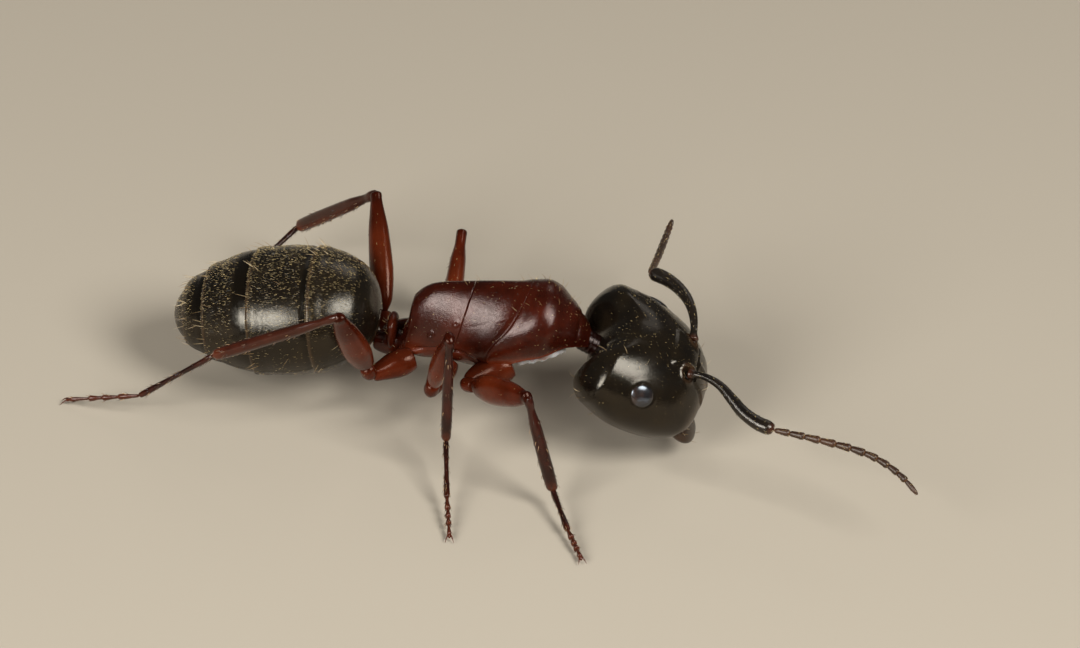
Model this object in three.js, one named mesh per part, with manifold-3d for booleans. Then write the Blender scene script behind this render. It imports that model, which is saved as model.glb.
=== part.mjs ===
// A carpenter ant, large worker, standing still: black head and gaster, dark red trunk and legs.
// Millimetres, +X towards the head, +Y to the ant's left, +Z up. The floor is z = 0.
// Every plate and limb section is one closed body with a thin gap to its neighbours.

import * as THREE from 'three';
import Module from 'manifold-3d';

const wasm = await Module();
wasm.setup();

// ---------- driving dimensions ----------

// The middle of the trunk, seen from the part's origin at the middle of its footprint.
const TRUNK_PLACE = new THREE.Vector3(-0.33, -0.435, 0);

const GAP = 0.03; // between neighbouring plates
const FACET_SLACK = 0.004; // how far merged facets may stray from the surface
const LIMB_RADIUS = 0.25; // thin limbs are drawn this stout in the solids
const TOE_HEIGHT = 0.1; // middle of the last foot joint above the floor
const FIRST_FOOT_JOINT = 0.55; // share of the foot's length in its first joint,
const FIRST_JOINT_FALL = 0.75; // and of its fall from the ankle to the toe
const LIMB_SIDES = 8;
const CAP_STRAIGHT = 0.3; // shares of a limb end's radius: where its rounding starts,
const CAP_SHOULDER = 0.7; // and the size and place of the ring half way round it

// Trunk cross-sections from the waist to the neck. Lean slants a section's top forwards.
// x, height of the middle, half width, rise above it, drop below it, lean
const TRUNK_SECTIONS = [
  [-1.98, 1.6, 0, 0, 0, 0],
  [-1.91, 1.68, 0.37, 0.34, 0.3, 0],
  [-1.77, 1.85, 0.46, 0.88, 0.5, 0],
  [-1.41, 2.08, 0.54, 1.0, 0.74, 0.04],
  [-0.89, 2.27, 0.63, 0.96, 0.84, 0.12],
  [-0.2, 2.4, 0.78, 1.0, 0.98, 0.36],
  [0.42, 2.5, 0.95, 0.99, 1.04, 0.44],
  [1.0, 2.6, 0.93, 0.77, 0.84, 0.3],
  [1.45, 2.6, 0.65, 0.53, 0.52, 0.1],
  [1.8, 2.47, 0.4, 0.32, 0.32, 0],
  [2.02, 2.33, 0, 0, 0, 0],
];
const PRONOTUM_SEAM = 0.2;
const PROPODEUM_SEAM = -0.72;
const TRUNK_RINGS = { pronotum: 9, mesothorax: 6, propodeum: 8 };
const PLATE_SIDES = 22;

const NECK = {
  from: [1.72, 0, 2.38],
  to: [2.3, 0.02, 2.14],
  radius: 0.25,
  flatNormal: new THREE.Vector3(0, 1, 0),
  steps: 2,
};

// Head: where its middle stands, how it is turned, and its sections from nape to mouth.
const HEAD_PLACE = new THREE.Vector3(3.12, 0.15, 1.79);
const HEAD_TURN = { yaw: 11, pitch: 31, roll: 16 };
const HEAD_SECTIONS = [
  [-1.14, 0, 0, 0, 0, 0],
  [-1.02, 0, 1.13, 0.67, 0.6, 0],
  [-0.68, 0, 1.58, 0.96, 0.94, 0],
  [-0.2, 0, 1.63, 1.06, 1.11, 0],
  [0.4, 0, 1.5, 1.02, 1.07, 0],
  [0.92, 0, 1.29, 0.81, 0.85, 0],
  [1.24, 0, 1.0, 0.52, 0.55, 0],
  [1.42, 0, 0, 0, 0, 0],
];
const HEAD_FACETS = { rings: 15, sides: 24 };
// The corners of the nape reach back in two lobes, from an inner to an outer distance off centre.
const HEAD_LOBE = { reach: 0.37, inner: 0.2, outer: 1.0, fades: 0.3, sharpness: 1.5 };
const EYE = { place: [-0.24, 1.33, 0.54], halfSizes: [0.29, 0.14, 0.26], tilt: 45 };
const EYE_FACETS = { bands: 7, sides: 12 };
const MANDIBLE = {
  path: [[0.98, 0.84, -0.16], [1.32, 0.72, -0.26], [1.5, 0.42, -0.34], [1.55, 0.1, -0.38]],
  broad: 0.3,
  thin: 0.25,
  broadest: 0.4,
  flatNormal: new THREE.Vector3(0.3, 0, 1),
  steps: 4,
};

// Feelers: each bends evenly through its headings (yaw, pitch in degrees).
const SCAPE_LENGTH = 2.3;
const FUNICULUS_LENGTH = 3.4;
const FEELER_STEPS = { scape: 6, funiculus: 8 };
const FEELERS = {
  r: {
    socket: [0.53, -0.46, 0.95],
    scape: [[-12, 16], [-40, -28], [-12, 0]],
    funiculus: [[-9, 4], [-12, 1], [-36, -29]],
  },
  l: {
    socket: [0.53, 0.46, 0.95],
    scape: [[92, 34], [123, 7], [157, -7]],
    funiculus: [[88, -18], [89, -12], [88, -6]],
  },
};

const PETIOLE_FACETS = { rings: 8, sides: 12 };
const PETIOLE_SECTIONS = [
  [-2.56, 1.46, 0, 0, 0, 0],
  [-2.5, 1.46, 0.25, 0.25, 0.25, 0],
  [-2.3, 1.46, 0.27, 0.26, 0.26, 0],
  [-2.14, 1.48, 0.33, 0.34, 0.28, 0.05],
  [-1.98, 1.48, 0.27, 0.26, 0.27, 0],
  [-1.8, 1.5, 0.25, 0.25, 0.25, 0],
  [-1.74, 1.5, 0, 0, 0, 0],
];

// Gaster: along its own axis, from the front of its first plate back to the tip.
const GASTER_PLACE = new THREE.Vector3(-2.5, 0, 2.22);
const GASTER_DROOP = 13;
const GASTER_SECTIONS = [
  [-4.38, 0, 0, 0, 0, 0],
  [-4.25, 0, 0.42, 0.37, 0.35, 0],
  [-3.95, 0, 0.8, 0.7, 0.66, 0],
  [-3.45, 0, 1.13, 0.99, 0.95, 0],
  [-2.7, 0, 1.43, 1.25, 1.22, 0],
  [-1.85, 0, 1.54, 1.32, 1.3, 0],
  [-1.05, 0, 1.45, 1.24, 1.2, 0],
  [-0.4, 0, 1.12, 0.98, 0.94, 0],
  [-0.08, 0, 0.66, 0.6, 0.58, 0],
  [0.02, 0, 0, 0, 0, 0],
];
const GASTER_SEAMS = [-1.24, -2.52, -3.55, -4.05];
const GASTER_RINGS = [8, 6, 5, 3, 4];

// Legs. Lengths in mm, directions as [yaw, pitch] in degrees. The foot has only a yaw, because
// its pitch follows from the floor.
const LEG_SIZES = {
  front: { coxa: 1.08, trochanter: 0.36, femur: 2.14, tibia: 2.15, tarsus: 2.0, stout: 0.33 },
  middle: { coxa: 0.82, trochanter: 0.34, femur: 2.1, tibia: 2.35, tarsus: 2.5, stout: 0.27 },
  hind: { coxa: 1.0, trochanter: 0.36, femur: 2.6, tibia: 3.05, tarsus: 3.6, stout: 0.29 },
};
const COXA_RADIUS = { front: 0.36, middle: 0.3, hind: 0.31 };
const COXA_ROOT = 0.9; // share of that radius where the coxa leaves the trunk
const COXA_BROADEST = 0.35; // places along the length
const FEMUR_BROADEST = 0.4;
const LEG_STEPS = { coxa: 4, trochanter: 2, femur: 5, tibia: 4, tarsus: 6 };
const STANCE = {
  front_r: { root: [0.45, -0.55, 1.84], coxa: [-155, -25], femur: [-49, 25], tibia: [-17, -68], foot: -63 },
  front_l: { root: [0.45, 0.55, 1.84], coxa: [155, -25], femur: [12, 6], tibia: [63, -36.8], foot: 76 },
  middle_r: { root: [-0.86, -0.5, 1.64], coxa: [-117, -44], femur: [-71, 61], tibia: [-54, -82], foot: -77 },
  middle_l: { root: [-0.86, 0.5, 1.64], coxa: [117, -44], femur: [94, 37], tibia: [117, -77], foot: 40 },
  hind_r: { root: [-1.6, -0.45, 1.49], coxa: [-150.6, -19], femur: [-110, 53.2], tibia: [172.5, -33.2], foot: 178.8 },
  hind_l: { root: [-1.6, 0.45, 1.49], coxa: [150, -20], femur: [110, 41], tibia: [141, -42], foot: -123 },
};

// ---------- finishes ----------

const finish = (color, roughness) => new THREE.MeshStandardMaterial({ color, roughness, metalness: 0 });
const HEAD_BLACK = finish(0x14110f, 0.25);
const EYE_BLACK = finish(0x0c0b0b, 0.12);
const JAW_BROWN = finish(0x2c120b, 0.3);
const FEELER_BROWN = finish(0x1e1512, 0.4);
const TRUNK_RED = finish(0x4a1410, 0.35);
const LEG_RED = finish(0x4f1a10, 0.3);
const SHANK_BROWN = finish(0x2f120c, 0.35);
const GASTER_BLACK = finish(0x17120c, 0.35);

// ---------- geometry helpers ----------

const degrees = THREE.MathUtils.degToRad;

// A unit vector from a yaw about +Z and a pitch above the floor, in degrees.
function heading([yaw, pitch]) {
  const level = Math.cos(degrees(pitch));
  return new THREE.Vector3(
    level * Math.cos(degrees(yaw)),
    level * Math.sin(degrees(yaw)),
    Math.sin(degrees(pitch)),
  );
}

// A smooth curve y(x) through stations that never overshoots them.
function smoothThrough(xs, ys) {
  const last = xs.length - 1;
  const chords = xs.slice(1).map((x, i) => (ys[i + 1] - ys[i]) / (x - xs[i]));
  const slopes = xs.map((_, i) => {
    if (i === 0) return chords[0];
    if (i === last) return chords[last - 1];
    const [before, after] = [chords[i - 1], chords[i]];
    return before * after <= 0 ? 0 : (2 * before * after) / (before + after);
  });
  return (x) => {
    const place = Math.min(Math.max(x, xs[0]), xs[last]);
    const i = Math.min(Math.max(xs.findIndex((station) => station >= place) - 1, 0), last - 1);
    const span = xs[i + 1] - xs[i];
    const u = (place - xs[i]) / span;
    const bend = slopes[i] * span * u * (1 - u) ** 2 - slopes[i + 1] * span * u * u * (1 - u);
    return ys[i] + (ys[i + 1] - ys[i]) * u * u * (3 - 2 * u) + bend;
  };
}

// Curves for a table of cross-sections. Sizes are smoothed as squares, so that ends come out round.
function sectionCurves(table) {
  const xs = table.map((row) => row[0]);
  const plain = (column) => smoothThrough(xs, table.map((row) => row[column]));
  const size = (column) => {
    const squared = smoothThrough(xs, table.map((row) => row[column] ** 2));
    return (x) => Math.sqrt(Math.max(squared(x), 0));
  };
  return { middle: plain(1), width: size(2), rise: size(3), drop: size(4), lean: plain(5) };
}

// A closed solid through rings of equally many points, with a pole at each end.
function loft(rings, startPole, endPole) {
  const count = rings[0].length;
  const points = [startPole, ...rings.flat(), endPole];
  const triangles = [];
  const at = (ring, j) => 1 + ring * count + (j % count);
  for (let j = 0; j < count; j += 1) {
    triangles.push([0, at(0, j + 1), at(0, j)]);
    triangles.push([points.length - 1, at(rings.length - 1, j), at(rings.length - 1, j + 1)]);
    for (let ring = 0; ring < rings.length - 1; ring += 1) {
      triangles.push([at(ring, j), at(ring, j + 1), at(ring + 1, j + 1)]);
      triangles.push([at(ring, j), at(ring + 1, j + 1), at(ring + 1, j)]);
    }
  }
  return solidFrom(points, triangles);
}

// A manifold solid from points and triangles, turned outwards if the triangles face in.
function solidFrom(points, triangles) {
  const volume = triangles.reduce(
    (sum, [a, b, c]) => sum + points[a].dot(points[b].clone().cross(points[c])),
    0,
  );
  const outward = volume > 0 ? triangles : triangles.map(([a, b, c]) => [a, c, b]);
  return new wasm.Manifold(new wasm.Mesh({
    numProp: 3,
    vertProperties: new Float32Array(points.flatMap((point) => point.toArray())),
    triVerts: new Uint32Array(outward.flat()),
  }));
}

// A plated body between two stations of a section table. A warp may bend each point.
function hull(table, from, to, { rings, sides, warp = (point) => point }, grow) {
  const curves = sectionCurves(table);
  const ends = [table[0][0], table[table.length - 1][0]];
  const start = from ?? ends[0];
  const end = to ?? ends[1];
  const centre = (x) => new THREE.Vector3(x, 0, curves.middle(x));
  const ringAt = (x, shift) => Array.from({ length: sides }, (_, j) => {
    const angle = (j / sides) * 2 * Math.PI;
    const across = Math.cos(angle) * (curves.width(x) + grow);
    const half = Math.sin(angle) > 0 ? curves.rise(x) : curves.drop(x);
    const up = Math.sin(angle) * (half + grow);
    return warp(new THREE.Vector3(x + shift + curves.lean(x) * up, across, curves.middle(x) + up));
  });
  // Stations crowd towards a round end and are even towards a seam.
  const eased = (u) => {
    if (from === null && to === null) return (1 - Math.cos(u * Math.PI)) / 2;
    if (from === null) return 1 - Math.cos((u * Math.PI) / 2);
    if (to === null) return Math.sin((u * Math.PI) / 2);
    return u;
  };
  const first = from === null ? 1 : 0;
  const final = to === null ? rings : rings + 1;
  // Growth also moves the rings out towards an open end.
  const shiftAt = (u) => grow * ((to === null ? u : 0) - (from === null ? 1 - u : 0));
  const shell = [];
  for (let i = first; i < final; i += 1) {
    const u = i / rings;
    shell.push(ringAt(start + (end - start) * eased(u), shiftAt(u)));
  }
  const pole = (x, open, way) => (open ? warp(centre(x + way * grow)) : warp(centre(x)));
  return loft(shell, pole(start, from === null, -1), pole(end, to === null, 1));
}

// Points along a limb that bends evenly through a list of headings.
function bowedPath(start, headings, length, steps) {
  const points = [start.clone()];
  for (let i = 0; i < steps; i += 1) {
    const u = ((i + 0.5) / steps) * (headings.length - 1);
    const k = Math.min(Math.floor(u), headings.length - 2);
    const between = (axis) => headings[k][axis] * (k + 1 - u) + headings[k + 1][axis] * (u - k);
    points.push(points[i].clone().addScaledVector(heading([between(0), between(1)]), length / steps));
  }
  return points;
}

// A limb round a path: half sizes across its flat and through it, at u from 0 to 1, round ends.
function limb(path, { broad, thin, flatNormal, steps }, grow) {
  const curve = new THREE.CatmullRomCurve3(path, false, 'centripetal');
  const side = flatNormal.clone().normalize();
  const endRadius = (u) => thin(u) + grow;
  const ringAt = (u, shrink, shift) => {
    const tangent = curve.getTangentAt(u);
    const through = side.clone().addScaledVector(tangent, -side.dot(tangent)).normalize();
    const across = through.clone().cross(tangent);
    const middle = curve.getPointAt(u).addScaledVector(tangent, shift * endRadius(u));
    return Array.from({ length: LIMB_SIDES }, (_, j) => {
      const angle = (j / LIMB_SIDES) * 2 * Math.PI;
      return middle.clone()
        .addScaledVector(across, Math.cos(angle) * shrink * (broad(u) + grow))
        .addScaledVector(through, Math.sin(angle) * shrink * (thin(u) + grow));
    });
  };
  const rings = Array.from({ length: steps - 1 }, (_, i) => ringAt((i + 1) / steps, 1, 0));
  rings.unshift(ringAt(0, CAP_SHOULDER, -CAP_SHOULDER), ringAt(0, 1, -CAP_STRAIGHT));
  rings.push(ringAt(1, 1, CAP_STRAIGHT), ringAt(1, CAP_SHOULDER, CAP_SHOULDER));
  const tip = (u, way) => curve.getPointAt(u).addScaledVector(curve.getTangentAt(u), way * endRadius(u));
  return loft(rings, tip(0, -1), tip(1, 1));
}

const even = (size) => () => size;

// A smooth swelling between two sizes, thickest at a share of the length.
function swelling(start, most, end, peak) {
  return smoothThrough([0, peak, 1], [start, most, end]);
}

// ---------- assembly ----------

const ant = new THREE.Group();
ant.position.copy(TRUNK_PLACE);

const headFrame = new THREE.Group();
headFrame.position.copy(HEAD_PLACE);
headFrame.rotation.set(
  degrees(HEAD_TURN.roll),
  degrees(HEAD_TURN.pitch),
  degrees(HEAD_TURN.yaw),
  'ZYX',
);
headFrame.updateMatrix();

const gasterFrame = new THREE.Group();
gasterFrame.position.copy(GASTER_PLACE);
gasterFrame.rotation.set(0, degrees(-GASTER_DROOP), 0);
gasterFrame.updateMatrix();

ant.add(headFrame, gasterFrame);

const clearances = []; // grown copies of the pieces placed so far, in the ant's frame

// The one largest body of a solid that cuts may have left in several.
function largest(solid) {
  return solid.decompose().sort((a, b) => b.volume() - a.volume())[0];
}

// Adds a piece, cut back where it comes nearer than the gap to a piece placed before it.
function place(name, material, build, frame = ant) {
  const inAnt = frame === ant ? null : frame.matrix;
  const moved = (solid, matrix) => (matrix ? solid.transform(matrix.elements) : solid);
  let solid = moved(build(0), inAnt);
  for (const clearance of clearances) {
    if (solid.intersect(clearance).volume() > 0) solid = solid.subtract(clearance);
  }
  solid = largest(solid.trimByPlane([0, 0, 1], 0).simplify(FACET_SLACK));
  clearances.push(moved(build(GAP), inAnt));
  const local = moved(solid, inAnt ? inAnt.clone().invert() : null);
  const { vertProperties, triVerts } = local.getMesh();
  const geometry = new THREE.BufferGeometry();
  geometry.setAttribute('position', new THREE.BufferAttribute(vertProperties, 3));
  geometry.setIndex(new THREE.BufferAttribute(triVerts, 1));
  geometry.computeVertexNormals();
  const mesh = new THREE.Mesh(geometry, material);
  mesh.name = name;
  frame.add(mesh);
}

const SIDES = { r: -1, l: 1 };
const mirrored = ([x, y, z], way) => new THREE.Vector3(x, y * way, z);

// ---------- neck: placed first, so that head and trunk are cut to hold its round ends ----------

place('neck', TRUNK_RED, (grow) => limb(
  [new THREE.Vector3(...NECK.from), new THREE.Vector3(...NECK.to)],
  { broad: even(NECK.radius), thin: even(NECK.radius), flatNormal: NECK.flatNormal, steps: NECK.steps },
  grow,
));

// ---------- head ----------

function headWarp(point) {
  const sideways = THREE.MathUtils.smoothstep(Math.abs(point.y), HEAD_LOBE.inner, HEAD_LOBE.outer);
  const rearwards = THREE.MathUtils.clamp(HEAD_LOBE.fades - point.x, 0, 1) ** HEAD_LOBE.sharpness;
  point.x -= HEAD_LOBE.reach * sideways * rearwards;
  return point;
}

function eyeSolid(way, grow) {
  const [length, depth, height] = EYE.halfSizes.map((size) => size + grow);
  const tilt = new THREE.Matrix4().makeRotationX(degrees(EYE.tilt) * way);
  const shape = new THREE.Vector3(length, depth, height);
  const centre = mirrored(EYE.place, way);
  const point = (latitude, longitude) => new THREE.Vector3(
    Math.cos(latitude) * Math.cos(longitude),
    Math.sin(latitude),
    Math.cos(latitude) * Math.sin(longitude),
  ).multiply(shape).applyMatrix4(tilt).add(centre);
  const rings = [];
  const { bands, sides } = EYE_FACETS;
  for (let i = 1; i < bands; i += 1) {
    const latitude = -Math.PI / 2 + (Math.PI * i) / bands;
    rings.push(Array.from({ length: sides }, (_, j) => point(latitude, (2 * Math.PI * j) / sides)));
  }
  return loft(rings, point(-Math.PI / 2, 0), point(Math.PI / 2, 0));
}

for (const [side, way] of Object.entries(SIDES)) {
  place(`eye_${side}`, EYE_BLACK, (grow) => eyeSolid(way, grow), headFrame);
}
place(
  'head',
  HEAD_BLACK,
  (grow) => hull(HEAD_SECTIONS, null, null, { ...HEAD_FACETS, warp: headWarp }, grow),
  headFrame,
);
for (const [side, way] of Object.entries(SIDES)) {
  const path = MANDIBLE.path.map((point) => mirrored(point, way));
  const shape = {
    broad: swelling(MANDIBLE.broad, MANDIBLE.broad, MANDIBLE.thin, MANDIBLE.broadest),
    thin: even(MANDIBLE.thin),
    flatNormal: MANDIBLE.flatNormal,
    steps: MANDIBLE.steps,
  };
  place(`mandible_${side}`, JAW_BROWN, (grow) => limb(path, shape, grow), headFrame);
}

// ---------- feelers ----------

for (const [side, feeler] of Object.entries(FEELERS)) {
  const socket = new THREE.Vector3(...feeler.socket).applyMatrix4(headFrame.matrix);
  const upright = new THREE.Vector3(0, 0, 1);
  const scapePath = bowedPath(socket, feeler.scape, SCAPE_LENGTH, FEELER_STEPS.scape);
  const elbow = scapePath[scapePath.length - 1];
  const lashLength = FUNICULUS_LENGTH - LIMB_RADIUS;
  const lash = bowedPath(elbow, feeler.funiculus, lashLength, FEELER_STEPS.funiculus);
  const round = { broad: even(LIMB_RADIUS), thin: even(LIMB_RADIUS), flatNormal: upright };
  const shapes = { scape: [scapePath, HEAD_BLACK], funiculus: [lash, FEELER_BROWN] };
  for (const [section, [path, material]] of Object.entries(shapes)) {
    const form = { ...round, steps: FEELER_STEPS[section] };
    place(`${section}_${side}`, material, (grow) => limb(path, form, grow));
  }
}

// ---------- trunk, waist and gaster ----------

const trunkPlates = [
  ['pronotum', PRONOTUM_SEAM + GAP / 2, null],
  ['mesothorax', PROPODEUM_SEAM + GAP / 2, PRONOTUM_SEAM - GAP / 2],
  ['propodeum', null, PROPODEUM_SEAM - GAP / 2],
];
for (const [name, from, to] of trunkPlates) {
  const facets = { rings: TRUNK_RINGS[name], sides: PLATE_SIDES };
  place(name, TRUNK_RED, (grow) => hull(TRUNK_SECTIONS, from, to, facets, grow));
}

const plateEnds = [null, ...GASTER_SEAMS, null];
GASTER_SEAMS.concat([null]).forEach((seam, i) => {
  const front = plateEnds[i] === null ? null : plateEnds[i] - GAP / 2;
  const rear = seam === null ? null : seam + GAP / 2;
  const facets = { rings: GASTER_RINGS[i], sides: PLATE_SIDES };
  const build = (grow) => hull(GASTER_SECTIONS, rear, front, facets, grow);
  place(`gaster_${i + 1}`, GASTER_BLACK, build, gasterFrame);
});

place('petiole', TRUNK_RED, (grow) => hull(PETIOLE_SECTIONS, null, null, PETIOLE_FACETS, grow));

// ---------- legs ----------

// The foot comes down from the ankle on its long first joint, and lies flatter on the rest.
function footPath(ankle, yaw, length) {
  const fall = ankle.z - TOE_HEIGHT;
  const stretch = (from, reach, drop) => {
    const pitch = -THREE.MathUtils.radToDeg(Math.asin(drop / reach));
    return from.clone().addScaledVector(heading([yaw, pitch]), reach);
  };
  const knuckle = stretch(ankle, length * FIRST_FOOT_JOINT, fall * FIRST_JOINT_FALL);
  const toe = stretch(knuckle, length * (1 - FIRST_FOOT_JOINT), fall * (1 - FIRST_JOINT_FALL));
  return [ankle, knuckle, toe.addScaledVector(toe.clone().sub(knuckle).normalize(), -LIMB_RADIUS)];
}

for (const [name, stance] of Object.entries(STANCE)) {
  const pair = name.split('_')[0];
  const sizes = LEG_SIZES[pair];
  const [root, toCoxa, toFemur, toTibia] = [
    new THREE.Vector3(...stance.root),
    heading(stance.coxa),
    heading(stance.femur),
    heading(stance.tibia),
  ];
  const hip = root.clone().addScaledVector(toCoxa, sizes.coxa);
  const thigh = hip.clone().addScaledVector(toFemur, sizes.trochanter);
  const knee = thigh.clone().addScaledVector(toFemur, sizes.femur);
  const ankle = knee.clone().addScaledVector(toTibia, sizes.tibia);
  const foot = footPath(ankle, stance.foot, sizes.tarsus);
  const bend = toFemur.clone().cross(toTibia);
  const radius = COXA_RADIUS[pair];
  const coxaSwell = swelling(radius * COXA_ROOT, radius, LIMB_RADIUS, COXA_BROADEST);
  const femurSwell = swelling(LIMB_RADIUS, sizes.stout, LIMB_RADIUS, FEMUR_BROADEST);
  const slim = even(LIMB_RADIUS);
  const sections = [
    ['coxa', LEG_RED, [root, hip], coxaSwell, coxaSwell],
    ['trochanter', LEG_RED, [hip, thigh], slim, slim],
    ['femur', LEG_RED, [thigh, knee], femurSwell, slim],
    ['tibia', SHANK_BROWN, [knee, ankle], slim, slim],
    ['tarsus', SHANK_BROWN, foot, slim, slim],
  ];
  for (const [section, material, path, broad, thin] of sections) {
    const form = { broad, thin, flatNormal: bend, steps: LEG_STEPS[section] };
    place(`${name}_${section}`, material, (grow) => limb(path, form, grow));
  }
}

export default ant;
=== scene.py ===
"""The looks of a carpenter ant worker: its shells, eyes, limbs and hairs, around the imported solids."""

import logging
import math
from collections.abc import Sequence
from dataclasses import dataclass, field
from enum import Enum

import bpy
import numpy as np
from mathutils import Matrix

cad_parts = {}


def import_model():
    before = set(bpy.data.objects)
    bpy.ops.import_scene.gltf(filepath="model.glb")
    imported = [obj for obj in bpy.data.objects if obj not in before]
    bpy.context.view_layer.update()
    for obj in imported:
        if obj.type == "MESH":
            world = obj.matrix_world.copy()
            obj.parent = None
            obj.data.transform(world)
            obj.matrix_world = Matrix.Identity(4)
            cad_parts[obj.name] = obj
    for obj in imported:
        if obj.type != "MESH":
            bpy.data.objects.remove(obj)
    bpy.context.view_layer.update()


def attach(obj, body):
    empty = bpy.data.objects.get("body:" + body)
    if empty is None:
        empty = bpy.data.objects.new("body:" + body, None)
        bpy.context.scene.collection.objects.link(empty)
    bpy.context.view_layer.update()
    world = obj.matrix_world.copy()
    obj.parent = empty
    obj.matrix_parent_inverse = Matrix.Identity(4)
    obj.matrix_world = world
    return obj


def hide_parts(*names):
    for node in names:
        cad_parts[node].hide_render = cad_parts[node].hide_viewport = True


Array = np.ndarray
Colour = tuple[float, float, float]

MM = 0.001
BODY = "root"
UNWRAP = "Unwrap"
BAKE_MAP = "OFBake"
LOG = logging.getLogger("carpenter_ant")


# ---------- curves and frames, in millimetres ----------


def unit(vectors: Array) -> Array:
    """Vectors scaled to length 1."""
    return vectors / np.maximum(np.linalg.norm(vectors, axis=-1, keepdims=True), 1e-12)


def heading(yaw: float, pitch: float) -> Array:
    """The unit vector at a yaw about +Z and a pitch above the floor, in degrees."""
    y, p = math.radians(yaw), math.radians(pitch)
    return np.array([math.cos(p) * math.cos(y), math.cos(p) * math.sin(y), math.sin(p)])


def fade(x: Array, low: float, high: float) -> Array:
    """A smooth step from 0 at low to 1 at high.

    Args:
        x: where it is read.
        low: where it is still 0.
        high: where it reaches 1, below or above low.

    Returns:
        The step's height at each x.
    """
    u = np.clip((x - low) / (high - low), 0, 1)
    return u * u * (3 - 2 * u)


def bump(x: Array, width: float) -> Array:
    """A smooth bump of height 1 at 0, down to a third at the width."""
    return np.exp(-((x / width) ** 2))


class Curve:
    """A smooth curve through stations that never overshoots them, held level beyond its ends."""

    def __init__(self, xs: Sequence[float], ys: Sequence[float], squared: bool = False) -> None:
        """Fits the curve.

        Args:
            xs: the stations, rising.
            ys: the values there.
            squared: whether it is smoothed as squares, so that a size closes round where it is 0.
        """
        self.squared = squared
        self.x, self.y = np.array(xs, float), np.array([y * y for y in ys] if squared else ys, float)
        chords = np.diff(self.y) / np.diff(self.x)
        before, after = chords[:-1], chords[1:]
        both = np.where(before + after == 0, 1, before + after)
        inner = np.where(before * after <= 0, 0, 2 * before * after / both)
        self.slopes = np.concatenate([chords[:1], inner, chords[-1:]])

    def __call__(self, at: Array) -> Array:
        """The curve's value at some places.

        Args:
            at: the places along the stations.

        Returns:
            The values there.
        """
        x, y, slopes = self.x, self.y, self.slopes
        place = np.clip(at, x[0], x[-1])
        i = np.clip(np.searchsorted(x, place) - 1, 0, len(x) - 2)
        span = x[i + 1] - x[i]
        u = (place - x[i]) / span
        bend = slopes[i] * span * u * (1 - u) ** 2 - slopes[i + 1] * span * u * u * (1 - u)
        value = y[i] + (y[i + 1] - y[i]) * u * u * (3 - 2 * u) + bend
        return np.sqrt(np.maximum(value, 0)) if self.squared else value


def size_curve(xs: Sequence[float], sizes: Sequence[float]) -> Curve:
    """A curve of sizes, which closes round where a size is 0."""
    return Curve(xs, sizes, squared=True)


def crowded(count: int, start_round: bool = True, end_round: bool = True) -> Array:
    """Shares of a length from 0 to 1, crowded towards its round ends.

    Args:
        count: how many there are.
        start_round: whether the start closes round.
        end_round: whether the end closes round.

    Returns:
        The shares, without the ones at a round end, where a pole closes the shape.
    """
    first, last = (0.5 if start_round else 0), (count - 0.5 if end_round else count - 1)
    u = np.linspace(first, last, count) / (count if end_round else count - 1)
    if start_round and end_round:
        return (1 - np.cos(u * math.pi)) / 2
    if start_round:
        return 1 - np.cos(u * math.pi / 2)
    return np.sin(u * math.pi / 2) if end_round else u


@dataclass(frozen=True)
class Place:
    """A frame of its own inside the part's: where its origin is and how it is turned."""

    origin: tuple[float, float, float]
    roll: float = 0
    pitch: float = 0
    yaw: float = 0

    @property
    def axes(self) -> Array:
        """The frame's turn.

        Returns:
            The matrix whose columns are its axes: roll, then pitch, then yaw.
        """
        r, p, y = (math.radians(angle) for angle in (self.roll, self.pitch, self.yaw))
        about_x = np.array([[1, 0, 0], [0, math.cos(r), -math.sin(r)], [0, math.sin(r), math.cos(r)]])
        about_y = np.array([[math.cos(p), 0, math.sin(p)], [0, 1, 0], [-math.sin(p), 0, math.cos(p)]])
        about_z = np.array([[math.cos(y), -math.sin(y), 0], [math.sin(y), math.cos(y), 0], [0, 0, 1]])
        return about_z @ about_y @ about_x

    def points(self, local: Array) -> Array:
        """Points of this frame, in the part's frame."""
        return np.asarray(local) @ self.axes.T + np.array(self.origin)

    def ways(self, local: Array) -> Array:
        """Directions of this frame, in the part's frame."""
        return np.asarray(local) @ self.axes.T


TRUNK_PLACE = (-0.33, -0.435, 0.0)
ANT = Place(TRUNK_PLACE)
HEAD_PLACE = Place(tuple(np.add(TRUNK_PLACE, (3.12, 0.15, 1.79))), roll=16, pitch=31, yaw=11)
GASTER_PLACE = Place(tuple(np.add(TRUNK_PLACE, (-2.5, 0, 2.22))), pitch=-13)


class Side(Enum):
    """The ant's two sides, as the sign of y."""

    R = -1
    L = 1

    @property
    def tag(self) -> str:
        """The side's letter in node names."""
        return self.name.lower()

    def mirrored(self, point: Sequence[float]) -> Array:
        """A point given for the left side, on this side."""
        return np.array([point[0], point[1] * self.value, point[2]])


# ---------- skins ----------


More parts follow.
